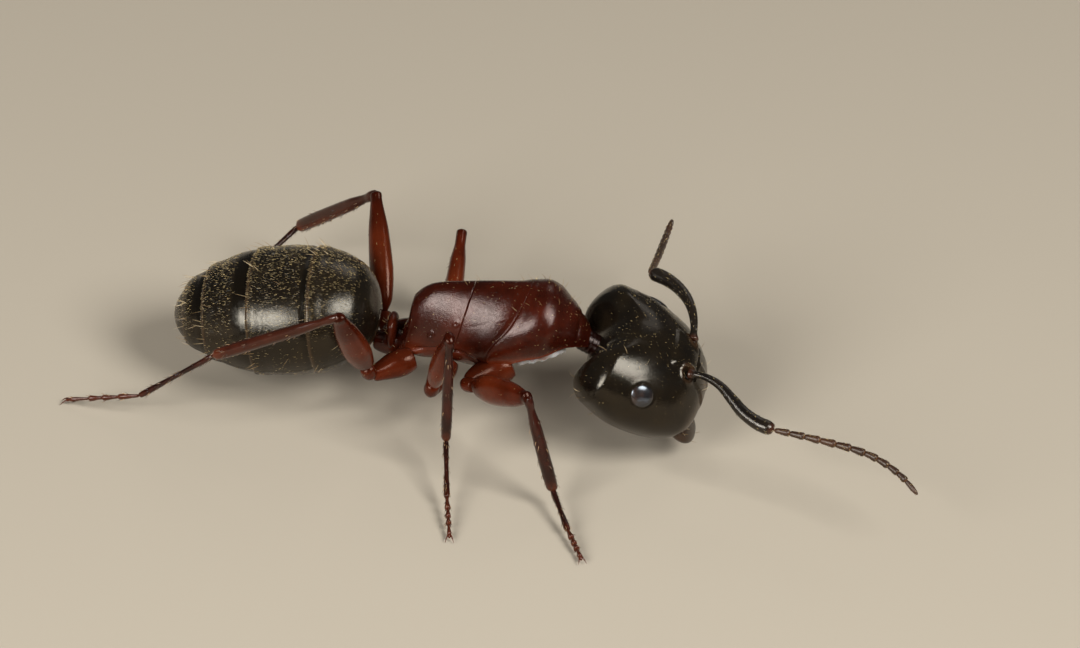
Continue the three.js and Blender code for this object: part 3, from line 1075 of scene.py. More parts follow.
@dataclass
class Coat:
    """One kind of hair and how thickly it stands."""

    finish: Hair
    per_mm2: float
    length: float
    width: float
    lift: float
    stray: float = 0.12
    curl: float = 0.25
    rows: int = 2
    seed: int = 1

    def strand(self) -> bpy.types.Object:
        """One hair, of unit length and width, that bends towards the skin.

        Returns:
            An object that holds it, for the tree to copy.
        """
        share = np.linspace(0, 1, self.rows + 2)[:, None]
        line = np.concatenate([-self.curl * self.length / self.width * share**2, share * 0, share], 1)
        size = (1 - share[:, 0] ** 2)[1:-1] * 0.9 + 0.1
        angle = np.arange(3) / 3 * 2 * math.pi
        circle = np.stack([np.cos(angle), np.sin(angle), angle * 0], 1)
        first = np.concatenate([[1.0], size[1:]])
        rings = line[1:-1, None] + circle[None] * first[:, None, None]
        rings[0] = line[0] + circle
        mesh = skin_mesh(tube(rings / MM, line[0] / MM, line[-1] / MM), "strand")
        mesh.uv_layers[0].name = BLADE
        mesh.attributes.remove(mesh.attributes["comb"])
        strand = bpy.data.objects.new("strand", mesh)
        bpy.context.scene.collection.objects.link(strand)
        return strand

    def grow(self, tree: CoatTree, name: str, host: Skin, slot: str) -> None:
        """Grows the coat on a skin as a piece.

        Args:
            tree: the tree that plants hairs.
            name: the piece's name.
            host: the skin, with density, comb and perhaps reach at its points.
            slot: not used; it is only handed on to add_piece.
        """
        if "reach" not in host.fields:
            host = host.with_fields(reach=1)
        strand = self.strand()
        values = {
            "Hair": strand,
            "Hairs per area": self.per_mm2 / MM**2,
            "Length": self.length * MM,
            "Width": self.width * MM,
            "Lift": self.lift,
            "Stray": self.stray,
            "Seed": self.seed,
            "Finish": self.finish.material(),
        }
        mesh = tree.result(skin_mesh(host, name + "_host"), name, values)
        for key in ("density", "comb", "reach", "warm", "shade", "dull", BLADE, UNWRAP):
            if key in mesh.attributes:
                mesh.attributes.remove(mesh.attributes[key])
        bpy.data.objects.remove(strand)
        add_piece(name, mesh, self.finish, slot)


class FacetTree(GrowTree):
    """Covers a round body with six-sided lenses."""

    def __init__(self) -> None:
        """Builds the tree."""
        inputs = {"Fineness": "NodeSocketInt", "Height": "NodeSocketFloat", "Width": "NodeSocketFloat"}
        super().__init__("Eye facets", {**inputs, "Seed": "NodeSocketInt", "Finish": "NodeSocketMaterial"})
        graph = self.graph
        ball = graph.value(
            "GeometryNodeMeshIcoSphere", {}, {"Radius": 1.0, "Subdivisions": self.read("Fineness")}, "Mesh"
        )
        cells = graph.value("GeometryNodeDualMesh", {}, {"Mesh": ball})
        raised = graph.node(
            "GeometryNodeExtrudeMesh", {"mode": "FACES"}, {"Mesh": cells, "Offset Scale": self.read("Height")}
        )
        lenses = graph.value(
            "GeometryNodeScaleElements",
            {"domain": "FACE"},
            {
                "Geometry": Value(graph, graph.output(raised, "Mesh")),
                "Selection": Value(graph, graph.output(raised, "Top")),
                "Scale": self.read("Width"),
            },
        )
        self.close(lenses)


# ---------- the ant ----------


@dataclass(frozen=True)
class Groove:
    """A line scored into a skin, or a ridge where its depth is below 0."""

    depth: float
    width: float

    def cut(self, distance: Array, where: Array | float = 1) -> Array:
        """The height of the skin at distances from the line, times how much of the line is there."""
        return -self.depth * bump(distance, self.width) * where


FEELER_SOCKET = (0.53, 0.46, 0.95)
# Each palp of the left side: where it starts, each joint's yaw and pitch, and how thick it is.
PALPS = (
    ((0.95, 0.24, -0.62), ((10, -60), (60, -170), (40, -185), (0, -190), (-20, -188), (-10, -185)), 0.04),
    ((1.05, 0.1, -0.66), ((0, -80), (10, -160), (5, -180), (0, -186)), 0.033),
)


@dataclass
class Head:
    """The head shell with its eyes, jaws and mouthparts."""

    sections: Sections = Sections((
        (-1.14, 0, 0, 0, 0, 0), (-1.02, 0, 1.13, 0.67, 0.6, 0), (-0.68, 0, 1.58, 0.96, 0.94, 0),
        (-0.2, 0, 1.63, 1.06, 1.11, 0), (0.4, 0, 1.5, 1.02, 1.07, 0), (0.92, 0, 1.29, 0.81, 0.85, 0),
        (1.24, 0, 1.0, 0.52, 0.55, 0), (1.42, 0, 0, 0, 0, 0),
    ))
    lobe_reach: float = 0.37
    lobe_inner: float = 0.2
    lobe_outer: float = 1.0
    lobe_fades: float = 0.3
    lobe_sharpness: float = 1.5
    rings: int = 170
    sides: int = 230
    ridge: Groove = Groove(-0.055, 0.05)
    socket_pit: Groove = Groove(0.13, 0.1)
    socket_rim: Groove = Groove(-0.035, 0.035)
    socket_radius: float = 0.17
    midline: Groove = Groove(0.012, 0.012)
    lip_plate_edge: Groove = Groove(0.025, 0.02)
    lip_plate_height: float = 0.03
    eye_rim: Groove = Groove(-0.006, 0.03)
    eye_rim_radius: float = 0.3
    eye_crease: Groove = Groove(0.01, 0.016)
    eye_crease_radius: float = 0.255
    throat_line: Groove = Groove(0.02, 0.02)
    mouth_depth: float = 0.09
    cheek_line: Groove = Groove(0.015, 0.02)
    eye_centre: tuple[float, float, float] = (-0.24, 1.349, 0.557)
    eye_half_sizes: tuple[float, float, float] = (0.25, 0.064, 0.23)
    eye_tilt: float = 45
    eye_fineness: int = 5
    facet_height: float = 0.008
    facet_width: float = 0.93
    jaw_line: tuple[tuple[float, float, float], ...] = (
        (0.98, 0.84, -0.16), (1.32, 0.72, -0.26), (1.5, 0.42, -0.34), (1.55, 0.1, -0.38),
    )
    jaw_rings: int = 44
    jaw_teeth: int = 5
    palp_step: float = 0.21

    def shell(self) -> Skin:
        """The head's shell, widened into two lobes at the rear.

        Returns:
            The shell in its own frame, with its relief, tones and places of hair.
        """
        skin = self.sections.plate(None, None, self.rings, self.sides)
        p = skin.points.copy()
        sideways = fade(np.abs(p[:, 1]), self.lobe_inner, self.lobe_outer)
        rearwards = np.clip(self.lobe_fades - p[:, 0], 0, 1) ** self.lobe_sharpness
        p[:, 0] -= self.lobe_reach * sideways * rearwards
        skin = Skin(p, skin.faces, skin.corners, skin.fields)
        return self.dressed(skin.raised(self.relief(p)))

    def relief(self, p: Array) -> Array:
        """How far the shell stands out at each point.

        Args:
            p: points on the smooth shell.

        Returns:
            The height there.
        """
        return self.face(p) + self.eye_rims(p) + self.underside(p)

    def face(self, p: Array) -> Array:
        """The ridges between the feelers, their sockets, the midline and the plate over the mouth.

        Args:
            p: points on the smooth shell.

        Returns:
            The height there.
        """
        x, y, z = p.T
        side, face = np.abs(y), fade(z, 0.1, 0.5)
        ridge_line = 0.27 + 0.16 * fade(x, 0.72, 0.12)
        between = fade(x, 0.02, 0.14) * fade(x, 0.8, 0.68)
        height = self.ridge.cut(side - ridge_line, face * between)
        height += 0.035 * fade(side, ridge_line + 0.02, ridge_line - 0.1) * face * between
        socket = np.hypot(x - FEELER_SOCKET[0], side - FEELER_SOCKET[1])
        height += self.socket_pit.cut(socket, face) + self.socket_rim.cut(socket - self.socket_radius, face)
        height += self.midline.cut(y, face * fade(x, 0.0, 0.12) * fade(x, 0.66, 0.5))
        plate = fade(side, 0.52, 0.46) * fade(x, 0.72, 0.78) * face
        height += self.lip_plate_height * plate * (1 + bump(y, 0.07))
        height += self.lip_plate_edge.cut(side - 0.5, face * fade(x, 0.74, 0.8) * fade(x, 1.3, 1.2))
        height += self.lip_plate_edge.cut(x - 0.74, face * fade(side, 0.5, 0.42))
        return height

    def from_eye(self, p: Array) -> Array:
        """The distance of each point from the middle of the nearer eye."""
        return np.linalg.norm(p * np.where(p[:, 1:2] < 0, (1, -1, 1), (1, 1, 1)) - self.eye_centre, axis=1)

    def eye_rims(self, p: Array) -> Array:
        """The raised rim round each eye, with a crease where the eye sits."""
        rim, crease = (self.from_eye(p) - radius for radius in (self.eye_rim_radius, self.eye_crease_radius))
        return self.eye_rim.cut(rim) + self.eye_crease.cut(crease)

    def underside(self, p: Array) -> Array:
        """The throat's midline, the hollow of the mouth and the lines under the cheeks.

        Args:
            p: points on the smooth shell.

        Returns:
            The height there.
        """
        x, y, z = p.T
        side = np.abs(y)
        height = self.throat_line.cut(y, fade(z, -0.3, -0.6) * fade(x, -0.95, -0.7) * fade(x, 0.95, 0.8))
        height -= self.mouth_depth * fade(x, 0.8, 1.05) * fade(side, 0.62, 0.5) * fade(z, 0.1, -0.1)
        cheek = side - (0.98 - 0.35 * fade(x, 0.6, 1.2))
        return height + self.cheek_line.cut(cheek, fade(z, 0.05, -0.15) * fade(x, 0.55, 0.75))

    def dressed(self, skin: Skin) -> Skin:
        """The shell with its tones, among them a painted floor reflection under it, and the places where hair
        grows.

        Args:
            skin: the shell with its relief.

        Returns:
            The shell with the fields warm, dull and density.
        """
        x, y, z = skin.points.T
        socket = np.hypot(x - FEELER_SOCKET[0], np.abs(y) - FEELER_SOCKET[1])
        sockets = bump(socket - 0.15, 0.05) * fade(z, 0.4, 0.6)
        mouth, under = fade(x, 0.95, 1.25), fade(z, -0.1, -0.75)
        # The underside's share of warm is a painted reflection of the floor below; the mouth's and the
        # sockets' shares are the shell's own reddish tone.
        warm = np.clip(0.55 * mouth + 0.7 * sockets + 0.3 * under, 0, 1)
        top = fade(z, 0.3, 0.8)
        density = (0.25 + 0.75 * top) * fade(self.from_eye(skin.points), 0.33, 0.42)
        return skin.with_fields(warm=warm, dull=0.12 * top, density=density)

    def jaw(self, side: Side) -> Skin:
        """One closed jaw with its teeth.

        Args:
            side: the jaw's side.

        Returns:
            The jaw in the head's frame.
        """
        line = through(np.array([side.mirrored(point) for point in self.jaw_line]), self.jaw_rings)
        share = np.linspace(0, 1, self.jaw_rings)[1:-1]
        broad = size_curve([0, 0.03, 0.4, 0.8, 0.97, 1], [0.1, 0.22, 0.31, 0.2, 0.09, 0.03])(share)
        thin = size_curve([0, 0.03, 0.4, 0.97, 1], [0.06, 0.17, 0.15, 0.06, 0.02])(share)
        flat = np.array([0.3, 0, 1.0])
        blade = sweep(line, broad, thin, flat, 40)
        way = side.mirrored((-0.55, -0.75, -0.2))
        teeth = []
        for i in range(self.jaw_teeth):
            root = line[20 + 4 * i] + unit(way) * (0.16 - 0.02 * i)
            teeth.append(cone(root, way, 0.2 - 0.02 * i, 0.065, flat * 0.05, 12, 12))
        teeth.append(cone(line[-6], line[-1] - line[-6], 0.34, 0.09, unit(way) * 0.12, 14, 12))
        skin = joined([blade.with_fields(tip=0)] + [tooth.with_fields(tip=1) for tooth in teeth])
        warm = 0.5 - 0.4 * fade(skin.fields["along"], 0.1, 0.8) * (1 - skin.fields["tip"])
        return skin.with_fields(warm=np.where(skin.fields["tip"] > 0.5, 0.1, warm), density=0.6)

    def mouthparts(self) -> Skin:
        """The lip and the palps, folded under the head.

        Returns:
            Them all as one skin in the head's frame.
        """
        profile = size_curve([0, 0.1, 0.5, 0.9, 1], [0, 0.2, 0.24, 0.16, 0])
        rear, front = np.array([0.72, 0, -0.78]), np.array([1.3, 0, -0.46])
        parts = [rod(rear, front, profile, np.array([-0.5, 0, 1.0]), 0.5)]
        for side in Side:
            for start, headings, thick in PALPS:
                at = np.array(start)
                profile = size_curve([0, 0.12, 0.7, 1], [0, thick * 0.7, thick, 0])
                for yaw, pitch in headings:
                    step = heading(yaw, pitch) * self.palp_step
                    ends = side.mirrored(at), side.mirrored(at + step)
                    parts.append(rod(*ends, profile, heading(90, 20), 1, 10, 10))
                    at = at + step * 0.96
        return joined(parts).with_fields(warm=0.5, density=0.5)

    def eye(self, tree: FacetTree, side: Side) -> None:
        """Adds one eye.

        Args:
            tree: the tree that makes eyes.
            side: the eye's side.
        """
        name = f"eye_{side.tag}_facets"
        values = {
            "Fineness": self.eye_fineness,
            "Height": self.facet_height,
            "Width": self.facet_width,
            "Finish": EYE_GLASS.material(),
        }
        mesh = tree.result(bpy.data.meshes.new("eye_seat"), name, values)
        flat = np.empty(len(mesh.vertices) * 3, np.float32)
        mesh.vertices.foreach_get("co", flat)
        tilted = Place(tuple(side.mirrored(self.eye_centre)), roll=self.eye_tilt * side.value)
        points = HEAD_PLACE.points(tilted.points(flat.reshape(-1, 3) * np.array(self.eye_half_sizes)))
        mesh.vertices.foreach_set("co", (points * MM).astype(np.float32).ravel())
        mesh.update()
        add_piece(name, mesh, EYE_GLASS, "eye", f"eye_{side.tag}")

    def build(self, coats: CoatTree, facets: FacetTree) -> None:
        """Adds the head's pieces.

        Args:
            coats: the tree that plants hairs.
            facets: the tree that makes eyes.
        """
        shell = self.shell().placed(HEAD_PLACE)
        add_piece("head_shell", skin_mesh(shell, "head_shell"), HEAD_SHELL, "head_black", "head")
        back = HEAD_PLACE.ways(np.array([-1.0, 0, 0]))
        combed = shell.with_fields(comb=np.broadcast_to(back, shell.points.shape))
        Coat(GOLDEN_DOWN, 90, 0.035, 0.0032, 0.25, 0.3, seed=3).grow(coats, "head_down", combed, "head_black")
        x, y, z = self.shell().points.T
        brow = bump(np.abs(y) - 0.36, 0.12) * fade(z, 0.5, 0.7) * fade(x, -0.5, 0.0)
        crown = 0.25 * fade(z, 0.3, 0.6) * fade(x, -0.2, -0.8)
        lip = fade(x, 1.0, 1.25)
        rear = 0.6 * fade(z, -0.1, -0.4) * fade(x, 0.0, -0.5)
        erect = combed.with_fields(density=np.clip(brow + crown + lip + rear, 0, 1))
        bristles = Coat(GOLDEN_BRISTLE, 5, 0.24, 0.0052, 0.75, 0.25, rows=4, seed=5)
        bristles.grow(coats, "head_bristles", erect, "head_black")
        for side in Side:
            self.eye(facets, side)
            jaw = self.jaw(side).placed(HEAD_PLACE)
            name = f"jaw_{side.tag}"
            add_piece(name, skin_mesh(jaw, name), JAW_SHELL, "jaw_brown", f"mandible_{side.tag}")
            bristles = Coat(GOLDEN_BRISTLE, 14, 0.16, 0.006, 0.5, 0.25, rows=3, seed=7)
            bristles.grow(coats, name + "_bristles", jaw, "jaw_brown")
        mouth = self.mouthparts().placed(HEAD_PLACE)
        add_piece("mouthparts", skin_mesh(mouth, "mouthparts"), JAW_SHELL, "jaw_brown")


def through(points: Array, count: int) -> Array:
    """Points evenly along a smooth curve through control points.

    Args:
        points: the control points.
        count: how many points are wanted.

    Returns:
        The points, from the first control point to the last.
    """
    padded = np.concatenate([[2 * points[0] - points[1]], points, [2 * points[-1] - points[-2]]])
    knots = np.concatenate([[0], np.cumsum(np.sqrt(np.linalg.norm(np.diff(padded, axis=0), axis=1)))])
    samples = []
    for i in range(1, len(padded) - 2):
        t = np.linspace(knots[i], knots[i + 1], 33)[:, None]
        k, q = knots[i - 1:i + 3], padded[i - 1:i + 3]
        a = [((k[j + 1] - t) * q[j] + (t - k[j]) * q[j + 1]) / (k[j + 1] - k[j]) for j in range(3)]
        b = [((k[j + 2] - t) * a[j] + (t - k[j]) * a[j + 1]) / (k[j + 2] - k[j]) for j in range(2)]
        samples.append(((k[2] - t) * b[0] + (t - k[1]) * b[1]) / (k[2] - k[1]))
    dense = np.concatenate([samples[0]] + [part[1:] for part in samples[1:]])
    steps = np.concatenate([[0], np.cumsum(np.linalg.norm(np.diff(dense, axis=0), axis=1))])
    wanted = np.linspace(0, steps[-1], count)
    return np.stack([np.interp(wanted, steps, dense[:, axis]) for axis in range(3)], 1)


def cone(root: Array, way: Array, length: float, radius: float, bend: Array, rings: int = 10,
         sides: int = 8) -> Skin:
    """A tooth, spur or claw: a pointed cone that may bend.

    Args:
        root: the middle of its base.
        way: where it points at first.
        length: its length.
        radius: its radius at the base.
        bend: how far its tip bends aside.
        rings: rings along it.
        sides: points in a ring.

    Returns:
        The cone.
    """
    share = np.linspace(0, 1, rings + 2)[:, None]
    line = root + unit(np.asarray(way, float)) * length * share + np.asarray(bend) * share**2
    size = radius * (1 - share[1:-1, 0]) ** 0.7
    across = np.cross(way, (0.3, 0.2, 1.0))
    return sweep(line, size, size, across, sides)


def bowed(start: Array, headings: Sequence[tuple[float, float]], length: float, steps: int) -> Array:
    """Points along a limb that bends evenly through a list of headings.

    Args:
        start: its first point.
        headings: yaw and pitch along it.
        length: its length.
        steps: how many straight steps it takes.

    Returns:
        The points.
    """
    points = [start]
    for i in range(steps):
        u = (i + 0.5) / steps * (len(headings) - 1)
        k = min(int(u), len(headings) - 2)
        yaw, pitch = (headings[k][axis] * (k + 1 - u) + headings[k + 1][axis] * (u - k) for axis in (0, 1))
        points.append(points[-1] + heading(yaw, pitch) * length / steps)
    return np.array(points)


@dataclass
class Feeler:
    """One feeler: a long first joint and a lash of eleven short ones."""

    side: Side
    scape: tuple[tuple[float, float], ...]
    lash: tuple[tuple[float, float], ...]
    scape_length: float = 2.3
    scape_bends: int = 6
    scape_rings: int = 74
    lash_length: float = 3.4
    lash_bends: int = 8
    lash_points: int = 441
    lash_joints: tuple[float, ...] = (0.34, 0.33, 0.35, 0.35, 0.34, 0.32, 0.3, 0.28, 0.26, 0.24, 0.4)
    lash_thick: float = 0.07
    lash_overlap: float = 0.004

    def scape_skin(self, root: Array) -> Skin:
        """The long joint, on its ball.

        Args:
            root: the middle of the ball.

        Returns:
            The joint in the part's frame.
        """
        line = through(bowed(root, self.scape, self.scape_length, self.scape_bends), self.scape_rings)
        stations = [0, 0.02, 0.05, 0.09, 0.3, 0.75, 0.93, 0.985, 1]
        sizes = [0.02, 0.12, 0.1, 0.075, 0.095, 0.15, 0.165, 0.11, 0.03]
        size = size_curve(stations, sizes)(np.linspace(0, 1, self.scape_rings)[1:-1])
        skin = sweep(line, size, size * 0.9, heading(0, 90), 26)
        along = skin.fields["along"]
        ends = np.maximum(0.6 * fade(along, 0.08, 0.02), 0.9 * fade(along, 0.94, 1.0))
        return skin.with_fields(warm=ends, density=fade(along, 0.05, 0.15))

    def lash_skin(self, elbow: Array) -> Skin:
        """The short joints, each with a pale neck.

        Args:
            elbow: where the first one starts.

        Returns:
            The lash in the part's frame.
        """
        line = through(bowed(elbow, self.lash, self.lash_length, self.lash_bends), self.lash_points)
        steps = np.arange(self.lash_points)
        marks = np.concatenate([[0], np.cumsum(self.lash_joints)]) / sum(self.lash_joints)
        parts = []
        for i, (start, end) in enumerate(zip(marks[:-1], marks[1:])):
            last = i == len(self.lash_joints) - 1
            low, high = max(start - self.lash_overlap, 0), min(end + self.lash_overlap, 1)
            share = np.concatenate([[0], crowded(22), [1]])
            at = (low + (high - low) * share) * steps[-1]
            points = np.stack([np.interp(at, steps, line[:, axis]) for axis in range(3)], 1)
            thick = self.lash_thick + 0.011 * math.sin(math.pi * min(i / 8, 1)) - 0.012 * last
            stations, sizes = [0, 0.05, 0.16, 0.5, 0.82, 0.95, 1], [0, 0.5, 0.78, 0.92, 1.05, 0.85, 0]
            if last:
                stations, sizes = [0, 0.04, 0.12, 0.5, 0.8, 1], [0, 0.5, 0.8, 0.95, 0.75, 0]
            size = size_curve(stations, sizes)(share[1:-1]) * thick
            part = sweep(points, size, size, heading(0, 90), 20)
            along = part.fields["along"]
            necks = np.maximum(fade(along, 0.1, 0.03), 0 if last else fade(along, 0.93, 0.99))
            parts.append(part.with_fields(warm=necks, density=fade(along, 0.05, 0.3)))
        return joined(parts)

    def build(self, coats: CoatTree) -> None:
        """Adds the feeler's pieces.

        Args:
            coats: the tree that plants hairs.
        """
        socket = HEAD_PLACE.points(self.side.mirrored(FEELER_SOCKET))
        scape = self.scape_skin(socket)
        lash = self.lash_skin(bowed(socket, self.scape, self.scape_length, self.scape_bends)[-1])
        tag = self.side.tag
        base, tip = f"feeler_base_{tag}", f"feeler_lash_{tag}"
        add_piece(base, skin_mesh(scape, "scape"), SCAPE_SHELL, "head_black", f"scape_{tag}")
        add_piece(tip, skin_mesh(lash, "lash"), LASH_SHELL, "feeler_brown", f"funiculus_{tag}")
        down = Coat(GOLDEN_DOWN, 110, 0.06, 0.0045, 0.3, 0.2, seed=11)
        down.grow(coats, base + "_down", scape, "head_black")
        down = Coat(GOLDEN_DOWN, 320, 0.045, 0.004, 0.35, 0.15, seed=13)
        down.grow(coats, tip + "_down", lash, "feeler_brown")


def from_top(turn: Array) -> Array:
    """How far round from the top each turn is, down either side, in degrees."""
    return np.abs((turn + 90) % 360 - 180)


@dataclass(frozen=True)
class Plate:
    """One plate of a body: its name, the solid it stands for, and where it lies."""

    name: str
    node: str
    start: float | None
    end: float | None
    rings: int


@dataclass
class Trunk:
    """The trunk's three plates, the neck, the waist scale and the soft skin at the front legs."""

    sections: Sections = Sections((
        (-1.98, 1.6, 0, 0, 0, 0), (-1.91, 1.68, 0.37, 0.34, 0.3, 0), (-1.77, 1.85, 0.46, 0.88, 0.5, 0),
        (-1.41, 2.08, 0.54, 1.0, 0.74, 0.04), (-0.89, 2.27, 0.63, 0.96, 0.84, 0.12),
        (-0.2, 2.4, 0.78, 1.0, 0.98, 0.36), (0.42, 2.5, 0.95, 0.99, 1.04, 0.44),
        (1.0, 2.6, 0.93, 0.77, 0.84, 0.3), (1.45, 2.6, 0.65, 0.53, 0.52, 0.1),
        (1.8, 2.47, 0.4, 0.32, 0.32, 0), (2.02, 2.33, 0, 0, 0, 0),
    ))
    pronotum_seam: float = 0.2
    propodeum_seam: float = -0.72
    seam_gap: float = 0.006
    sides: int = 200
    narrowing: float = 0.28
    neck_from: tuple[float, float, float] = (1.72, 0, 2.38)
    neck_to: tuple[float, float, float] = (2.3, 0.02, 2.14)
    neck_fold: float = 0.006
    neck_folds: float = 60
    fold_line: tuple[tuple[float, float, float], ...] = (
        (1.5, 0.34, 2.28), (1.35, 0.42, 2.21), (1.1, 0.48, 2.1), (0.8, 0.52, 1.98), (0.5, 0.55, 1.87),
    )
    fold_rings: int = 60
    flank_radius: float = 0.9
    pores: tuple[tuple[float, float, float], ...] = ((-0.84, 74, 0.042), (-1.3, 88, 0.05))

    def plates(self) -> tuple[Plate, ...]:
        """The plates from front to rear.

        Returns:
            Each plate's name, solid and reach.
        """
        gap = self.seam_gap / 2
        return (
            Plate("pronotum_plate", "pronotum", self.pronotum_seam + gap, None, 90),
            Plate("mesothorax_plate", "mesothorax", self.propodeum_seam + gap, self.pronotum_seam - gap, 70),
            Plate("propodeum_plate", "propodeum", None, self.propodeum_seam - gap, 80),
        )

    def relief(self, plate: Plate, x: Array, flank: Array) -> Array:
        """How far a plate stands out.

        Args:
            plate: which plate.
            x: the place along the trunk.
            flank: the turn from the top down either side, in degrees.

        Returns:
            The height there.
        """
        radius = math.radians(self.flank_radius)
        if plate.node == "pronotum":
            flap = 122 + 10 * fade(x, 1.0, 0.3) - 14 * fade(x, 1.2, 1.8)
            height = -0.07 * fade(flank, flap - 1, flap + 6)
            height += Groove(-0.016, 0.03).cut((flank - flap + 4) * radius)
            shoulder = np.hypot((x - 0.6) / 1.6, (flank - 112) * radius)
            height += 0.05 * fade(shoulder, 0.5, 0.05)
            height += 0.014 * fade(x, 0.36, 0.24) + Groove(0.02, 0.03).cut(x - 1.72)
            return height
        if plate.node == "mesothorax":
            suture = 60 + 16 * fade(x, 0.2, -0.6)
            height = Groove(0.004, 0.025).cut((flank - suture) * radius, fade(x, -0.68, -0.5))
            lower = 128 - 14 * fade(x, 0.1, -0.6)
            height += Groove(0.045, 0.04).cut((flank - lower) * radius)
            return height + 0.01 * fade(x, 0.05, 0.17)
        height = Groove(0.03, 0.04).cut((flank - 112) * radius, fade(x, -1.85, -1.6))
        for place, turn, size in self.pores:
            pore = np.hypot(x - place, (flank - turn) * radius)
            height += Groove(-0.022, 0.02).cut(pore - size) + Groove(0.03, 0.02).cut(pore)
        bulla = np.hypot((x + 1.72) / 1.5, (flank - 122) * radius)
        height += 0.07 * fade(bulla, 0.26, 0.05)
        return height + Groove(0.035, 0.035).cut(x + 1.88)

    def moulded(self, skin: Skin, x: Array, flank: Array) -> Skin:
        """The trunk narrowed towards the back, its front seam bent.

        Args:
            skin: a plate of plain round sections.
            x: the place along the trunk.
            flank: the turn from the top down either side, in degrees.

        Returns:
            The plate in its true form.
        """
        p = skin.points.copy()
        height = np.cos(np.radians(flank))
        p[:, 1] *= 1 - self.narrowing * height * fade(x, -1.9, -1.2) * fade(x, 0.7, -0.1)
        bend = 0.13 * bump(flank - 98, 20) - 0.2 * fade(flank, 112, 140)
        p[:, 0] -= bend * bump(x - self.pronotum_seam, 0.5)
        return Skin(p, skin.faces, skin.corners, skin.fields)

    def plate_skin(self, plate: Plate) -> Skin:
        """One plate with its relief, tones and places of hair.

        Args:
            plate: which plate.

        Returns:
            The plate in the part's frame.
        """
        skin = self.sections.plate(plate.start, plate.end, plate.rings, self.sides)
        turn, x = np.degrees(skin.fields["turn"]), skin.fields["x"]
        flank = from_top(turn)
        within = fade(skin.fields["edge"], 0.9, 0.99)
        skin = self.moulded(skin.raised(self.relief(plate, x, flank) * within), x, flank)
        low = fade(flank, 95, 125) * fade(flank, 165, 135)
        rims = np.zeros_like(x)
        if plate.node == "pronotum":
            rims = fade(flank, 108, 122) * fade(flank, 136, 126) * fade(x, 1.7, 1.2)
        if plate.node == "propodeum":
            rims = 0.6 * fade(x, -1.2, -1.8) * fade(flank, 70, 110)
        warm = np.clip(0.28 * low + 0.8 * rims, 0, 1)
        back = fade(flank, 45, 10) * fade(x, -1.3, -0.6) * fade(x, 0.9, 0.2)
        shade = 0.45 * fade(x, 1.3, 1.9) + 0.35 * back
        density = within * (0.35 + 0.65 * fade(flank, 120, 60))
        return skin.with_fields(warm=warm, shade=np.clip(shade, 0, 1), density=density).placed(ANT)

    def scale(self) -> Skin:
        """The waist: a short stem that carries one upright scale.

        Returns:
            The waist in the part's frame.
        """
        stem = Sections((
            (-2.56, 1.46, 0, 0, 0, 0), (-2.5, 1.46, 0.2, 0.2, 0.2, 0), (-2.3, 1.46, 0.25, 0.24, 0.26, 0),
            (-2.14, 1.48, 0.3, 0.3, 0.28, 0.05), (-1.98, 1.48, 0.26, 0.25, 0.27, 0),
            (-1.8, 1.5, 0.2, 0.2, 0.2, 0), (-1.74, 1.5, 0, 0, 0, 0),
        )).plate(None, None, 44, 72)
        foot, crest = np.array([-2.14, 0, 1.4]), np.array([-2.2, 0, 2.14])
        profile = size_curve([0, 0.05, 0.45, 0.8, 0.95, 1], [0, 0.26, 0.36, 0.33, 0.2, 0])
        upright = rod(foot, crest, profile, np.array([1.0, 0, 0]), 0.36, 40, 64)
        return joined([stem, upright]).with_fields(warm=0.12, density=1.0).placed(ANT)

    def neck(self) -> Skin:
        """The neck, ringed where it folds.

        Returns:
            The neck in the part's frame.
        """
        start, end = np.array(self.neck_from), np.array(self.neck_to)
        profile = size_curve([0, 0.08, 0.3, 0.8, 0.95, 1], [0, 0.2, 0.24, 0.22, 0.18, 0])
        reach = end - start
        skin = rod(start - reach * 0.2, end + reach * 0.3, profile, heading(90, 0), 1, 60, 60)
        folds = self.neck_fold * np.sin(skin.fields["along"] * self.neck_folds)
        return skin.raised(folds).with_fields(shade=1.0, density=0.3).placed(ANT)

    def soft_skin(self) -> Skin:
        """The pale folds between the trunk and the front legs, on both sides.

        Returns:
            The folds in the part's frame.
        """
        parts = []
        for side in Side:
            line = through(np.array([side.mirrored(point) for point in self.fold_line]), self.fold_rings)
            share = np.linspace(0, 1, self.fold_rings)[1:-1]
            broad = size_curve([0, 0.1, 0.5, 0.9, 1], [0.02, 0.07, 0.1, 0.09, 0.03])(share)
            broad = broad * (1 + 0.12 * np.sin(share * 31))
            parts.append(sweep(line, broad, broad * 0.8, heading(90 * side.value, 30), 40))
        return joined(parts).with_fields(density=1.0).placed(ANT)

